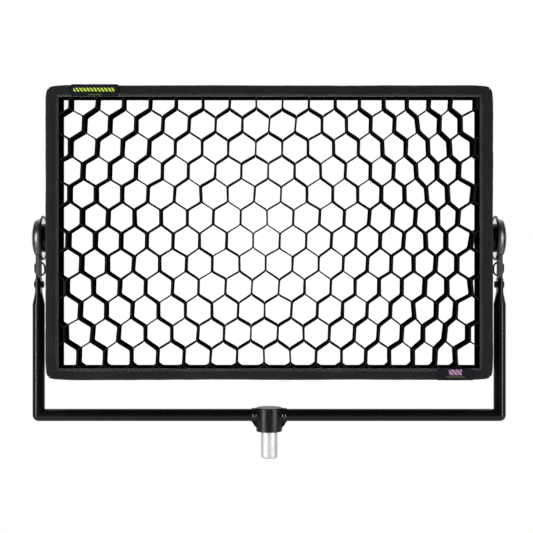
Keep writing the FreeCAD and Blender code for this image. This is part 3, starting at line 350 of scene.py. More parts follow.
FINISH_OF = {
    "arms": "yoke_crossbar yoke_arm_left yoke_arm_right",
    "casting": "hub_casting dish_plates side_hub_left side_hub_right",
    "housing": "side_rail_left side_rail_right top_rail bottom_rail front_bezel rear_handle_left"
    " rear_handle_right",
    "cover": "rear_cover driver_case driver_lid",
    "anodised": "heat_sink_left heat_sink_right",
    "spigot": "spigot",
    "zinc": "yoke_lug_left yoke_lug_right pivot_stud_left pivot_stud_right thrust_washer_left"
    " thrust_washer_right",
    "bright": "friction_washers",
    "aluminium": "back_plate",
    "wire": "safety_link_left safety_link_right",
    "screw": "hub_screws lug_bolts",
    "black_screw": "hub_bolts housing_screws",
    "gloss": "tilt_knob_left tilt_knob_right pivot_collar_left pivot_collar_right",
    "plastic": "dimmer_knob colour_knob up_button down_button power_rocker switch_frame mains_inlet"
    " control_sockets",
    "potted": "power_supply",
    "reflector": "reflector_box",
    "opal": "diffuser_panel",
    "board_white": "led_boards",
    "board_green": "driver_board",
    "display": "display_window",
}
for finish, names in FINISH_OF.items():
    for name in names.split():
        mesh = NODES[name].data
        if mesh.materials:
            for slot in NODES[name].material_slots:
                slot.material = FINISHES[finish]
        else:
            mesh.materials.append(FINISHES[finish])


# ---------------------------------------------------------------- mesh helpers


class Build:
    """Collects points, faces and each face corner's thread coordinates for one mesh."""

    def __init__(self):
        self.points, self.faces, self.strands = [], [], []

    def face(self, corners, strands):
        self.faces.append(corners)
        self.strands.extend(strands)

    def grid(self, rows, wrap=False, caps=False):
        """Quads between neighbouring rows of points. wrap closes each row, and caps closes the two ends."""
        start, count = len(self.points), len(rows[0])
        for row in rows:
            self.points.extend(Vector(p) for p in row)
        middle = rows[len(rows) // 2]
        down, over = [0.0], [0.0]
        for first, second in zip(rows, rows[1:]):
            down.append(down[-1] + (Vector(second[0]) - Vector(first[0])).length)
        for j in range(count):
            over.append(over[-1] + (Vector(middle[(j + 1) % count]) - Vector(middle[j])).length)
        for i in range(len(rows) - 1):
            for j in range(count if wrap else count - 1):
                k = (j + 1) % count
                top, low = start + i * count, start + (i + 1) * count
                self.face(
                    (top + j, top + k, low + k, low + j),
                    [(down[a], over[b], 0) for a, b in ((i, j), (i, j + 1), (i + 1, j + 1), (i + 1, j))],
                )
        if caps:
            last = start + (len(rows) - 1) * count
            for ring in ([start + j for j in reversed(range(count))], [last + j for j in range(count)]):
                self.face(ring, [(self.points[p].x, self.points[p].y + self.points[p].z, 0) for p in ring])

    def object(self, name, finish, body):
        mesh = bpy.data.meshes.new(name)
        mesh.from_pydata(self.points, [], self.faces)
        layer = mesh.attributes.new("thread", "FLOAT_VECTOR", "CORNER")
        layer.data.foreach_set("vector", np.ravel(self.strands))
        mesh.polygons.foreach_set("use_smooth", [True] * len(self.faces))
        mesh.materials.append(FINISHES[finish])
        mesh.update()
        made = bpy.data.objects.new(name, mesh)
        SCENE.collection.objects.link(made)
        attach(made, body)
        return made


def subdivide(obj):
    made = obj.modifiers.new("smooth", "SUBSURF")
    made.levels = made.render_levels = 1


def spaced(start, end, step):
    """Evenly spaced numbers from start to end, about step apart."""
    count = max(1, round(abs(end - start) / step))
    return [start + (end - start) * i / count for i in range(count + 1)]


def sway(point, scale, amount, seed=0.0):
    """A smooth wandering offset, the same for the same place."""
    return noise.noise_vector(Vector(point) * scale + Vector((seed, 3.7, 9.1))) * amount


# ---------------------------------------------------------------- the grid's border

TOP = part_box("grid_border_top")
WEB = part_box("honeycomb")
OUT_X, MOUTH_X, MOUTH_Z = TOP[1].x, WEB[1].x, (WEB[1].z - WEB[0].z) / 2
MID_Z = (WEB[0].z + WEB[1].z) / 2
OUT_Z = TOP[1].z - MID_Z
FRONT, BACK = TOP[0].y, TOP[1].y
CORNER = 12.5 * MM
# The seam's distance from the mouth's edge, and how far the padding stands out past the outer face.
SEAM, PUFF = 2.6 * MM, 1.1 * MM
# How far from each end of a side the mitre's seam pulls the sleeve in.
MITRE_REACH = 5 * MM
SIDES = {
    "top": ((-1, 1), (1, 1)),
    "bottom": ((1, -1), (-1, -1)),
    "left": ((-1, -1), (-1, 1)),
    "right": ((1, 1), (1, -1)),
}


def rounded(x, z):
    """Where a point of the square border ends up, so that its outer corners are round."""
    dx, dz = abs(x) - (OUT_X - CORNER), abs(z) - (OUT_Z - CORNER)
    if dx <= 0 or dz <= 0:
        return x, z
    pull = max(dx, dz) / math.hypot(dx, dz)
    x = math.copysign(OUT_X - CORNER + dx * pull, x)
    z = math.copysign(OUT_Z - CORNER + dz * pull, z)
    return x, z


def side_width(side):
    """How far a side of the border reaches from its outer face to the mouth."""
    return OUT_Z - MOUTH_Z if side in ("top", "bottom") else OUT_X - MOUTH_X


def side_length(side):
    """How long a side is, along its outer face."""
    return 2 * (OUT_X if side in ("top", "bottom") else OUT_Z)


def on_side(side, t, u, y):
    """The point a share t along a side, u in from the outer face, at a depth y."""
    share = u / side_width(side)
    (ax, az), (bx, bz) = SIDES[side]
    x_reach = OUT_X + (MOUTH_X - OUT_X) * share
    z_reach = OUT_Z + (MOUTH_Z - OUT_Z) * share
    x, z = (ax + (bx - ax) * t) * x_reach, (az + (bz - az) * t) * z_reach
    x, z = rounded(x, z)
    return Vector((x, y, MID_Z + z))


def rounded_section(width, front, back, radii, step):
    """A rounded rectangle's outline as (u, y), anticlockwise from the outer front corner."""
    corners = [(0, front), (width, front), (width, back), (0, back)]
    turns = [(1, 1), (-1, 1), (-1, -1), (1, -1)]
    outline = []
    for i, ((u, y), (du, dy), radius) in enumerate(zip(corners, turns, radii)):
        centre_u, centre_y = u + du * radius, y + dy * radius
        begin = math.pi + i * math.pi / 2
        for k in range(4):
            angle = begin + k * math.pi / 6
            outline.append((centre_u + radius * math.cos(angle), centre_y + radius * math.sin(angle)))
        ahead = corners[(i + 1) % 4]
        run_u, run_y = ahead[0] - u, ahead[1] - y
        length = math.hypot(run_u, run_y)
        clear = length - radius - radii[(i + 1) % 4]
        pieces = max(1, round(clear / step))
        for k in range(1, pieces):
            share = (radius + clear * k / pieces) / length
            outline.append((u + run_u * share, y + run_y * share))
    return outline


def bar_shares(length):
    """Where a side's cross sections stand along it, closer together at its mitred ends."""
    end = MITRE_REACH / length
    near = [-0.12 * end, 0.4 * end, end, 1.9 * end]
    inner = spaced(2.8 * end, 1 - 2.8 * end, 5.5 * MM / length)
    return [*near, *inner, *[1 - share for share in reversed(near)]]


def border_bar(side):
    """One side of the border: a sewn sleeve over a frame, pulled in at its mitred ends and at its seam."""
    width, length = side_width(side), side_length(side)
    section = rounded_section(width, FRONT, BACK - 0.5 * MM, [4.2 * MM, 2.6 * MM, 2 * MM, 2.6 * MM], 4 * MM)
    section = [(u + PUFF * (u / width - 1), y) for u, y in section]
    count = len(section)
    shares = bar_shares(length)
    middle_u, middle_y = width / 2, (FRONT + BACK) / 2
    rows = []
    for t in shares:
        from_end = min(t, 1 - t) * length
        tuck = 0.9 * MM * max(0.0, 1 - from_end / MITRE_REACH)
        near_end = max(0.0, 1 - from_end / (45 * MM))
        free = max(0.0, min(1.0, from_end / (14 * MM)))
        row = []
        for u, y in section:
            shrink = 1 - tuck / math.hypot(u - middle_u, y - middle_y)
            point = on_side(side, t, middle_u + (u - middle_u) * shrink, middle_y + (y - middle_y) * shrink)
            point += sway(point, 9, 0.7 * MM * free, 1.5)
            squeezed = (point.x * 2, point.y * 0.4, point.z * 2)
            point += sway(squeezed, 40, (0.35 + 0.5 * near_end) * MM * free, 5.5)
            row.append(point)
        rows.append(row)
    build = Build()
    build.grid(rows, wrap=True, caps=True)
    bar = build.object(f"border_{side}", "border", "grid")
    # The inner wall's faces take the darker copy of the border nylon: painted shade inside the mouth.
    bar.data.materials.append(FINISHES["lining"])
    shaded_wall = [u > width - 1.5 * MM and y > FRONT + 1.5 * MM for u, y in section]
    for face in bar.data.polygons:
        j = face.index % count
        face.material_index = int(shaded_wall[j] and shaded_wall[(j + 1) % count])
    held = bar.vertex_groups.new(name="held")
    for i in range(len(shares)):
        for j, (u, y) in enumerate(section):
            at_end = i in (0, len(shares) - 1)
            at_seam = abs(u - (width - SEAM)) < 1.6 * MM and y < FRONT + 1.5 * MM
            at_back = y > BACK - 2.2 * MM
            at_edge = abs(y - FRONT) < 1.5 * MM and u < 0.6 * MM - PUFF
            if at_end or at_seam or at_back or at_edge:
                held.add([i * count + j], 1.0 if at_end or at_back else 0.85, "REPLACE")
    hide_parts(f"grid_border_{side}")
    return bar


def inflate(objects, frames, cap):
    """Lets the padding push the held cloth out, no point further than cap, and keeps the shape it takes."""
    before = {}
    for obj in objects:
        before[obj.name] = np.array([v.co for v in obj.data.vertices], float)
        made = obj.modifiers.new("cloth", "CLOTH")
        settings = made.settings
        settings.quality = 6
        settings.mass = 0.25
        settings.tension_stiffness = settings.compression_stiffness = 18
        settings.shear_stiffness = 6
        settings.bending_stiffness = 0.35
        settings.vertex_group_mass = "held"
        settings.use_pressure = True
        settings.uniform_pressure_force = 4
        settings.effector_weights.gravity = 0
        made.point_cache.frame_start, made.point_cache.frame_end = 1, frames
    for number in range(1, frames + 1):
        SCENE.frame_set(number)
    graph = bpy.context.evaluated_depsgraph_get()
    for obj in objects:
        swollen = np.array([v.co for v in obj.evaluated_get(graph).data.vertices], float)
        move = swollen - before[obj.name]
        size = np.linalg.norm(move, axis=1, keepdims=True)
        move *= np.minimum(1, cap / np.maximum(size, 1e-9))
        obj.modifiers.clear()
        obj.data.vertices.foreach_set("co", (before[obj.name] + move).ravel())
        obj.data.update()
    SCENE.frame_set(1)


bars = [border_bar(side) for side in SIDES]
inflate(bars, 20, 1.5 * MM)
for bar in bars:
    subdivide(bar)


def binding():
    """A narrow tape folded over the mouth's front edge and sewn down, its ends lapped at the bottom."""
    build = Build()
    for side in SIDES:
        width, length = side_width(side), side_length(side)
        face, edge = FRONT - 0.75 * MM, width + 0.45 * MM
        outline = [
            (width - SEAM, FRONT - 0.1 * MM),
            (width - SEAM + 0.25 * MM, face + 0.1 * MM),
            (width - SEAM + 0.9 * MM, face - 0.2 * MM),
            (width - 1.5 * MM, face - 0.15 * MM),
            (width - 0.7 * MM, face + 0.3 * MM),
            (width - 0.05 * MM, FRONT + 0.5 * MM),
            (edge, FRONT + 1.8 * MM),
            (edge, FRONT + 4.6 * MM),
            (width - 0.2 * MM, FRONT + 5.0 * MM),
            (width - 1.2 * MM, FRONT + 3.0 * MM),
            (width - 1.9 * MM, FRONT + 1.2 * MM),
        ]
        rows = []
        for t in spaced(0, 1, 4.5 * MM / length):
            row = []
            lap = 0.45 * MM if side == "bottom" and 0.5 < t < 0.512 else 0
            for u, y in outline:
                point = on_side(side, t, u, y - (lap if y < FRONT else 0))
                point += sway(point, 30, 0.3 * MM, 2.5) + sway(point, 110, 0.18 * MM, 7.5)
                row.append(point)
            rows.append(row)
        build.grid(rows, wrap=True, caps=True)
    # The tape's lighter nylon is partly wear and partly a painted highlight on the mouth's edge.
    tape = build.object("border_binding", "binding", "grid")
    subdivide(tape)


binding()


# ---------------------------------------------------------------- stitches


# A stitch's cross sections: the share along it, its size and its height, in widths.
STITCH = [(0, 0.35, -0.25), (0.2, 0.9, 0.6), (0.5, 1, 0.95), (0.8, 0.9, 0.6), (1, 0.35, -0.25)]


def stitch(build, start, end, normal, width):
    """One raised stitch, dipping into the cloth at both ends."""
    start, end, normal = Vector(start), Vector(end), Vector(normal).normalized()
    across = (end - start).cross(normal).normalized() * width
    rows = []
    for t, size, lift in STITCH:
        middle = start.lerp(end, t) + normal * width * lift
        ring = [
            middle + across * size * math.cos(a) + normal * width * 0.8 * size * math.sin(a)
            for a in (math.radians(60 * k) for k in range(6))
        ]
        rows.append(ring)
    build.grid(rows, wrap=True, caps=True)


def seam_stitches(build, side, pick):
    """Two rows of stitches along one side: beside the binding, and over the flap's seam."""
    (ax, az), (bx, bz) = SIDES[side]
    outward = Vector(((ax + bx) / 2, 0, (az + bz) / 2))
    seams = [
        (side_width(side) - SEAM - 1.0 * MM, FRONT - 0.25 * MM, (0, -1, 0)),
        (-0.1 * MM, BACK - 3.6 * MM, outward),
    ]
    count = int(side_length(side) / (4.4 * MM))
    for i in range(4, count - 4):
        t, ahead = (i + pick.uniform(-0.05, 0.05)) / count, 0.62 / count
        for u, y, normal in seams:
            first, second = on_side(side, t, u, y), on_side(side, t + ahead, u, y)
            drift = sway(first, 9, 0.7 * MM, 1.5)
            stitch(build, first + drift, second + drift, normal, 0.32 * MM)


def mitre_stitches(build, corner_x, corner_z):
    """Five stitches across one corner's mitre."""
    across = Vector((corner_x * (OUT_Z - MOUTH_Z), 0, -corner_z * (OUT_X - MOUTH_X))).normalized()
    reach = across * 1.0 * MM
    out_x, out_z = OUT_X - CORNER * 0.3, OUT_Z - CORNER * 0.3
    for k in range(1, 6):
        x, z = out_x + (MOUTH_X - out_x) * k / 6, out_z + (MOUTH_Z - out_z) * k / 6
        middle = Vector((corner_x * x, FRONT + 0.55 * MM, MID_Z + corner_z * z))
        stitch(build, middle - reach, middle + reach, (0, -1, 0), 0.3 * MM)


def border_stitches():
    """All the stitches on the border, as one piece."""
    build = Build()
    pick = random.Random(11)
    for side in SIDES:
        seam_stitches(build, side, pick)
    for corner_x in (-1, 1):
        for corner_z in (-1, 1):
            mitre_stitches(build, corner_x, corner_z)
    build.object("border_stitching", "thread", "grid")


border_stitches()


# ---------------------------------------------------------------- flaps and tapes behind the border


def side_strips(name, box, thick, short, finish, body, wave=0.0, hem=0.0):
    """Four strips of cloth or tape round a box, each short of its corners, with a wandering back edge.

    wave is how far a strip stands off in places at its back edge, and hem is the extra thickness there.
    """
    build = Build()
    low, high = box
    half_x, half_z = (high.x - low.x) / 2, (high.z - low.z) / 2
    depths = [0, 0.1, 0.3, 0.5, 0.68, 0.8, 0.86, 0.95, 1]
    total = 0.0
    for side, ((ax, az), (bx, bz)) in SIDES.items():
        level = side in ("top", "bottom")
        reach = (half_x if level else half_z) - short
        face = half_z if level else half_x
        outward = Vector(((ax + bx) / 2, 0, (az + bz) / 2)).normalized()
        along = Vector((bx - ax, 0, bz - az)).normalized()
        rows = []
        for s in spaced(-reach, reach, 6 * MM):
            end = min(1.0, (reach - abs(s)) / (12 * MM))
            outer, inner = [], []
            for d in depths:
                lift = wave * (0.5 + noise.noise(Vector((s * 14, face * 9, az + bx * 3)))) * d * d
                lift -= wave * 1.2 * (1 - end) * d
                extra = hem if d > 0.8 else 0
                skin = face + min(lift, wave) * 0.5 - (0 if d else 0.25 * MM)
                base = along * s + Vector((0, low.y + (high.y - low.y) * d, MID_Z))
                if d == 1:
                    base.y += noise.noise(Vector((s * 22, face * 5, 4))) * 0.6 * MM
                outer.append(base + outward * (skin + extra))
                inner.append(base + outward * (skin - thick - extra * 0.3))
            rows.append([*outer, *reversed(inner)])
        build.grid(rows, wrap=True, caps=True)
        total += 2 * reach
    return build.object(name, finish, body), total


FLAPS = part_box("skirt_flaps")
hook, _ = side_strips("hook_strips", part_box("hook_tape"), 1.2 * MM, 24 * MM, "hook", "grid")
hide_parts("hook_tape")
loop, _ = side_strips("loop_strips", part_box("loop_tape"), 1.25 * MM, 24 * MM, "loop", "head")
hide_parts("loop_tape")
flaps, flap_length = side_strips(
    "back_flaps", FLAPS, 1.9 * MM, 3 * MM, "skirt", "grid", wave=0.9 * MM, hem=0.35 * MM
)
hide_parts("skirt_flaps")


# ---------------------------------------------------------------- the honeycomb of cloth strips

CELL = 25.9 * MM
PITCH, ROW_PITCH = CELL * math.sqrt(3), CELL * 1.5
# How far the web's middle row stands above the border's middle.
RISE = 25.4 * MM
# A strip's thickness, and the share of it left where two strips are sewn together.
STRIP, PRESSED = 2.2 * MM, 0.64
WEB_FRONT, WEB_BACK = WEB[0].y, WEB[1].y
REACH_X, REACH_Z = MOUTH_X - 0.5 * MM, MOUTH_Z - 0.5 * MM


def gathered(x, z):
    """Where a point of an even web ends up: the real one crowds in at its right, and leans a little."""
    drawn, reach = (37.7 * MM, 355 * MM) if x > 0 else (-4 * MM, 300 * MM)
    shift, lean = -4.2 * MM, 0.0235
    return x - drawn * min(1, abs(x) / reach) ** 2.2 + shift + lean * z


def web_knots():
    """A small wander for both ends of each upright wall, keyed by its place in the web."""
    pick = random.Random(23)
    knots = {}
    for wall in range(-20, 21):
        for row in range(-8, 9):
            for end in (1, -1):
                slack = 0.9 * MM if wall < 12 else 2.2 * MM
                knots[wall, row, end] = (pick.uniform(-slack, slack), pick.uniform(-0.9, 0.9) * MM)
    return knots


def zigzag(index, knots):
    """One strip's line from top to bottom: upright walls, shared with its neighbours, joined by slants."""
    line = []
    for row in range(7, -9, -1):
        wall = index if (index - row) % 2 == 0 else index + 1
        beside = 0.5 * STRIP * PRESSED + 0.05 * MM
        shift = beside if wall == index else -beside
        for end in (1, -1):
            dx, dz = knots[wall, row, end]
            z = RISE + row * ROW_PITCH + end * CELL / 2 + dz
            line.append(Vector((gathered(wall * PITCH / 2, z) + shift + dx, z)))
    return line


def inside(p):
    return abs(p.x) <= REACH_X and abs(p.y) <= REACH_Z


def cut_point(a, b):
    """Where the line from a, inside the mouth, to b, outside it, is cut, and if an upright side cuts it."""
    low, high = 0.0, 1.0
    for _ in range(30):
        half = (low + high) / 2
        if inside(a.lerp(b, half)):
            low = half
        else:
            high = half
    spot = a.lerp(b, low)
    return spot, REACH_X - abs(spot.x) < REACH_Z - abs(spot.y)


def runs_inside(line):
    """The parts of a line inside the mouth, each with a foot turned along the border where it was cut."""
    foot = 2.6 * MM
    made, run = [], []
    for a, b in zip(line, line[1:]):
        if inside(a) and not run:
            run = [a]
        if inside(a) and inside(b):
            run.append(b)
        elif inside(a) or inside(b):
            spot, upright = cut_point(a, b) if inside(a) else cut_point(b, a)
            inner = a if inside(a) else b
            lean = Vector((0, spot.y - inner.y)) if upright else Vector((spot.x - inner.x, 0))
            if lean.length < 1e-5:
                lean = Vector((0, 1)) if upright else Vector((1, 0))
            toe = spot + lean.normalized() * foot
            toe.x = max(-REACH_X, min(REACH_X, toe.x))
            toe.y = max(-REACH_Z, min(REACH_Z, toe.y))
            if inside(a):
                made.append([*run, spot, toe])
                run = []
            else:
                run = [toe, spot, b]
    if len(run) > 1:
        made.append(run)
    return made


def softened(run):
    """The run with its corners bent round and its long walls divided."""
    bend, step = 2.2 * MM, 6.5 * MM
    line = [run[0]]
    for before, corner, after in zip(run, run[1:], run[2:]):
        back, ahead = before - corner, after - corner
        size = min(bend, back.length * 0.45, ahead.length * 0.45)
        first, last = corner + back.normalized() * size, corner + ahead.normalized() * size
        line += [first, (first + last + 2 * corner) / 4, last]
    line.append(run[-1])
    made = [line[0]]
    for a, b in zip(line, line[1:]):
        count = max(1, round((b - a).length / step))
        made += [a.lerp(b, (i + 1) / count) for i in range(count)]
    return made


def web_strip(build, line):
    """One strip of cloth on edge along a line of (x, z) points, thinner where two are sewn together."""
    depths = (0, 0.04, 0.3, 0.55, 0.8, 0.96, 1)
    rows = []
    for i, spot in enumerate(line):
        before, after = line[max(0, i - 1)], line[min(len(line) - 1, i + 1)]
        tangent = (after - before).normalized()
        normal = Vector((-tangent.y, 0, tangent.x))
        pressed = PRESSED if abs(tangent.y) > 0.9 else 1.0
        margin = min(REACH_X - abs(spot.x), REACH_Z - abs(spot.y))
        free = max(0.0, min(1.0, margin / (16 * MM)))
        left, right = [], []
        for d in depths:
            half = STRIP / 2 * pressed * (0.8 if d in (0, 1) else 1.0)
            y = WEB_FRONT + (WEB_BACK - WEB_FRONT) * d
            place = Vector((spot.x, y, MID_Z + spot.y))
            wander = sway((spot.x, d * 0.04, spot.y), 26, 1.1 * MM * free, 1.0)
            place += wander * (0.35 + abs(d - 0.5))
            place.y = y + noise.noise(Vector((spot.x * 60, d, spot.y * 60))) * 0.25 * MM * (1 - d)
            left.append(place + normal * half)
            right.append(place - normal * half)
        rows.append([*left, *reversed(right)])
    build.grid(rows, wrap=True, caps=True)


def honeycomb():
    """The web: strips of cloth on edge, side by side in pairs along the upright walls."""
    build = Build()
    knots = web_knots()
    for index in range(-18, 19):
        for run in runs_inside(zigzag(index, knots)):
            line = softened(run)
            length = sum((b - a).length for a, b in zip(line, line[1:]))
            if length < 16 * MM:
                continue
            web_strip(build, line)
    web = build.object("grid_web", "web", "grid")
    # Faces near the front take the lighter copy of the web nylon, the walls behind them the darker one:
    # painted light and shade.
    web.data.materials.append(FINISHES["web_front_lit"])
    for face in web.data.polygons:
        face.material_index = int(face.center.y < WEB_FRONT + 1.9 * MM)
    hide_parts("honeycomb")


honeycomb()


# ---------------------------------------------------------------- woven labels


def label_cloth(name, paint):
    """Woven damask label cloth in dark navy. paint adds its marks, given the strand coordinates."""
    mat, tree, feed = shade(name, Sheen_Weight=0.03, Sheen_Roughness=0.4, Specular_IOR_Level=0.12)
    weave, strand, across, along = threads(tree, 0.00045)
    slub = cloud(tree, 900, 3, 0.7, where=strand)
    tone = blend(tree, spread(tree, slub, 0.3, 0.7), rgb(0.0022, 0.003, 0.0062), rgb(0.0045, 0.0062, 0.011))
    tone = paint(tree, tone, across, along)
    # Nearly black where the weave dips between threads: painted shade in the weave's hollows.
    tone = blend(tree, spread(tree, weave, 0.1, 0.8, 0.35, 0), tone, rgb(0.0015, 0.0015, 0.0022))
    feed(
        Base_Color=tone,
        Roughness=spread(tree, slub, 0.3, 0.7, 0.62, 0.78),
        Normal=bump(tree, calc(tree, "ADD", weave, slub), 0.0002),
    )
    return mat


def near(tree, value, middle, reach):
    """1 where value is within reach of middle, and 0 outside."""
    gap = calc(tree, "ABSOLUTE", calc(tree, "SUBTRACT", value, middle))
    return spread(tree, gap, reach + 0.12 * MM, reach - 0.12 * MM)


def dashes(tree, tone, across, along):
    """A row of slanted dashes, and a fainter thin row under it."""
    lime = rgb(0.42, 0.6, 0.06)
    slant = calc(tree, "ADD", across, calc(tree, "MULTIPLY", along, 0.7))
    beat = calc(tree, "FRACT", calc(tree, "DIVIDE", slant, 5.9 * MM))
    bars = calc(tree, "MULTIPLY", spread(tree, beat, 0.62, 0.58), near(tree, along, 11.2 * MM, 3.1 * MM))
    bars = calc(tree, "MULTIPLY", bars, near(tree, across, 39 * MM, 34 * MM))
    tone = blend(tree, bars, tone, lime)
    small = calc(tree, "FRACT", calc(tree, "DIVIDE", across, 1.5 * MM))
    line = calc(tree, "MULTIPLY", spread(tree, small, 0.7, 0.6), near(tree, along, 2.9 * MM, 0.7 * MM))
    line = calc(tree, "MULTIPLY", line, near(tree, across, 40 * MM, 11 * MM))
    return blend(tree, calc(tree, "MULTIPLY", line, 0.35), tone, lime)


def patch(tree, tone, across, along):
    """A small patch of slanted stripes in two plain colours, and a thin line under it."""
    wide, tall = near(tree, across, 31 * MM, 10.8 * MM), near(tree, along, 21.2 * MM, 4.7 * MM)
    field = calc(tree, "MULTIPLY", wide, tall)
    slant = calc(tree, "ADD", across, calc(tree, "MULTIPLY", along, 0.9))
    beat = calc(tree, "FRACT", calc(tree, "DIVIDE", slant, 7.2 * MM))
    paint = blend(tree, spread(tree, beat, 0.48, 0.52), rgb(0.09, 0.1, 0.26), rgb(0.5, 0.2, 0.24))
    tone = blend(tree, field, tone, paint)
    wide, tall = near(tree, across, 31 * MM, 15.5 * MM), near(tree, along, 13.6 * MM, 0.5 * MM)
    line = calc(tree, "MULTIPLY", tall, wide)
    return blend(tree, calc(tree, "MULTIPLY", line, 0.3), tone, rgb(0.35, 0.5, 0.08))


FINISHES["label_dashes"] = label_cloth("label_dashes", dashes)
FINISHES["label_patch"] = label_cloth("label_patch", patch)


def label(name, finish, x_low, x_high, outline):
    """A folded strip of label cloth: outline is its path as (y, z), seen from the side."""
    build = Build()
    thick = 0.7 * MM
    rows = []
    for x in spaced(x_low, x_high, 3 * MM):
        outer, inner = [], []
        for i, (y, z) in enumerate(outline):
            (y0, z0), (y1, z1) = outline[max(0, i - 1)], outline[min(len(outline) - 1, i + 1)]
            size = math.hypot(y1 - y0, z1 - z0)
            ny, nz = -(z1 - z0) / size, (y1 - y0) / size
            ripple = 0.25 * MM * noise.noise(Vector((x * 90, y * 60, z * 60)))
            outer.append(Vector((x, y + ny * (thick + ripple), z + nz * (thick + ripple))))
            inner.append(Vector((x, y + ny * ripple, z + nz * ripple)))
        rows.append([*outer, *reversed(inner)])
    build.grid(rows, wrap=True, caps=True)
    made = build.object(name, finish, "grid")
    lay_threads(made.data, x_low, outline)
    subdivide(made)


def lay_threads(mesh, x_low, outline):
    """Sets a label's thread coordinates: the distance from its left edge, and the way along its path."""
    count = 2 * len(outline)
    flat = []
    for corner in mesh.loops:
        column = corner.vertex_index % count
        step = min(column, count - 1 - column)
        run = sum(math.dist(a, b) for a, b in zip(outline[:step], outline[1 : step + 1]))
        flat.extend((mesh.vertices[corner.vertex_index].co.x - x_low, run, 0))
    mesh.attributes["thread"].data.foreach_set("vector", flat)


def arc(centre, radius, start, end, count=6):
    """Points on part of a circle in the (y, z) plane, with angles in degrees."""
    made = []
    for k in range(count + 1):
        angle = math.radians(start + (end - start) * k / count)
        made.append((centre[0] + radius * math.cos(angle), centre[1] + radius * math.sin(angle)))
    return made


SKIN = FRONT - 0.9 * MM
CREST, SOLE = MID_Z + OUT_Z, MID_Z - OUT_Z
top_path = [(SKIN, z) for z in spaced(CREST - 17.2 * MM, CREST - 0.6 * MM, 3 * MM)]
top_path += arc((SKIN + 2.4 * MM, CREST + 0.3 * MM), 2.4 * MM, 180, 70)
top_path += [(SKIN + 5.5 * MM, CREST + 1.3 * MM), (SKIN + 9 * MM, CREST + 0.7 * MM)]
top_path.append((SKIN + 13 * MM, CREST + 0.6 * MM))
label("label_top", "label_dashes", -329.2 * MM, -249.4 * MM, top_path)
low_path = [(SKIN + 9 * MM, SOLE - 0.7 * MM), (SKIN + 5 * MM, SOLE - 0.9 * MM)]
low_path += arc((SKIN + 1.6 * MM, SOLE + 0.1 * MM), 1.6 * MM, -80, -180)
low_path += [(SKIN, z) for z in spaced(SOLE + 1.5 * MM, SOLE + 17.6 * MM, 3 * MM)]
label("label_bottom", "label_patch", 277.4 * MM, 338.4 * MM, low_path)


# ---------------------------------------------------------------- dial marks on the rear


def dial_marks():
    """Raised painted ticks round the two control knobs, longer at the ends of the travel."""
    build = Build()
    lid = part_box("driver_lid")[1].y
    for name in ("dimmer_knob", "colour_knob"):
        low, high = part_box(name)
        middle, radius = (low + high) / 2, (high.x - low.x) / 2
        for k in range(11):
            angle = math.radians(225 - 27 * k)
            spoke = Vector((-math.cos(angle), 0, math.sin(angle)))
            long = 3.6 * MM if k in (0, 5, 10) else 2.2 * MM
            start = Vector((middle.x, lid, middle.z)) + spoke * (radius + 2.2 * MM)
            stitch(build, start, start + spoke * long, (0, 1, 0), 0.35 * MM)
    build.object("dial_marks", "dial_paint", "head")


FINISHES["dial_paint"] = coated("dial_paint", (0.6, 0.6, 0.58), 0.5, 900, 0.00005, bare=0.3)
dial_marks()


# ---------------------------------------------------------------- stage, light and camera


def stage():
    """A pale round floor well below the spigot, which fades out into the white surround."""
    build = Build()
    drop = -1.2
    ring = [math.radians(7.5 * k) for k in range(48)]
    rows = []
    for radius in (0.0005, 0.5, 1.0, 1.5, 2.0, 2.5, 3.0, 3.5, 4.0):
        rows.append([(radius * math.cos(a), radius * math.sin(a), drop) for a in ring])
    build.grid(rows, wrap=True)
    mesh = bpy.data.meshes.new("floor")
    mesh.from_pydata(build.points, [], build.faces)
    mat, tree, feed = shade("pale_floor", Roughness=0.8)
    flat = node(tree, "Mapping", {"Vector": rest(tree), "Scale": (1, 1, 0)}).outputs[0]
    away = node(tree, "VectorMath", {0: flat}, operation="LENGTH").outputs["Value"]
    fade = spread(tree, away, 1.2, 3.6)
    mottle = cloud(tree, 3, 4)
    tone = blend(tree, mottle, rgb(0.8), rgb(0.84))
    feed(Base_Color=tone, Emission_Color=rgb(1.0), Emission_Strength=fade)
    mesh.materials.append(mat)
    floor = bpy.data.objects.new("floor", mesh)
    SCENE.collection.objects.link(floor)


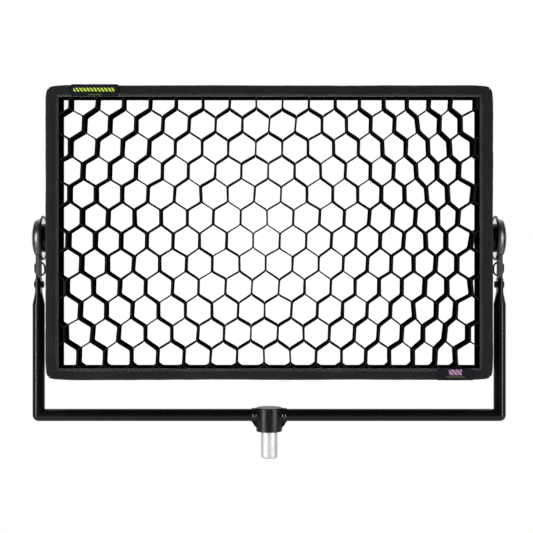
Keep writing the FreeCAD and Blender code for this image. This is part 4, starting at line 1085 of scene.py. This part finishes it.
def surround():
    """A white surround that lights the object from behind and the sides, and is dim in front of it."""
    world = bpy.data.worlds.new("studio")
    SCENE.world = world
    world.use_nodes = True
    tree = world.node_tree
    tree.nodes.clear()
    way = node(tree, "SeparateXYZ", {0: node(tree, "TexCoord").outputs["Generated"]})
    glow = spread(tree, way.outputs[1], -0.3, 1.0, 0.05, 0.85)
    seen = node(tree, "LightPath").outputs["Is Camera Ray"]
    unseen = calc(tree, "SUBTRACT", 1.0, seen)
    light = calc(tree, "ADD", seen, calc(tree, "MULTIPLY", unseen, glow))
    ground = node(tree, "Background", {"Color": rgb(1.0), "Strength": light})
    out = node(tree, "OutputWorld")
    tree.links.new(ground.outputs[0], out.inputs[0])


def panel(name, azimuth, distance, height, size, power, only=(), skip=()):
    """A soft light facing the object, at an azimuth from the front, kept to some nodes or off some."""
    light = bpy.data.lights.new(name, "AREA")
    light.shape = "RECTANGLE"
    light.size, light.size_y = size
    light.energy = power
    lamp = bpy.data.objects.new(name, light)
    angle = math.radians(azimuth)
    lamp.location = (distance * math.sin(angle), -distance * math.cos(angle), height)
    lamp.rotation_mode = "QUATERNION"
    lamp.rotation_quaternion = (Vector((0, 0, 0.25)) - lamp.location).to_track_quat("-Z", "Y")
    SCENE.collection.objects.link(lamp)
    if only or skip:
        lit = bpy.data.collections.new(f"{name}_lights")
        lamp.light_linking.receiver_collection = lit
        for part in [*only, *skip]:
            lit.objects.link(NODES[part])
        for link in lit.collection_objects:
            link.light_linking.link_state = "EXCLUDE" if skip else "INCLUDE"


def camera():
    """Straight in front of the object, about level with its pivots, and shifted to frame it."""
    data = bpy.data.cameras.new("view")
    data.sensor_width = 36
    data.lens = 94.56
    data.shift_x, data.shift_y = -0.005066, -0.064728
    data.clip_start, data.clip_end = 0.1, 60
    eye = bpy.data.objects.new("view", data)
    eye.location = (0, -2.43, 0.346)
    eye.rotation_euler = (math.radians(90), 0, 0)
    SCENE.collection.objects.link(eye)
    SCENE.camera = eye


stage()
surround()
panel("strip_left", -50, 3.0, 0.4, (0.5, 2.4), 95, skip=["yoke_arm_right"])
panel("strip_right", 50, 3.0, 0.4, (0.5, 2.4), 72, skip=["yoke_arm_left"])
panel("overhead", 180, 1.6, 2.6, (2.6, 1.6), 20)
domes = ["tilt_knob_left", "tilt_knob_right", "pivot_collar_left", "pivot_collar_right"]
for azimuth in (-54, 54):
    panel(f"kicker_{azimuth}", azimuth, 2.2, 0.33, (1.7, 0.7), 15, only=domes)
camera()
SCENE.view_settings.view_transform = "Standard"
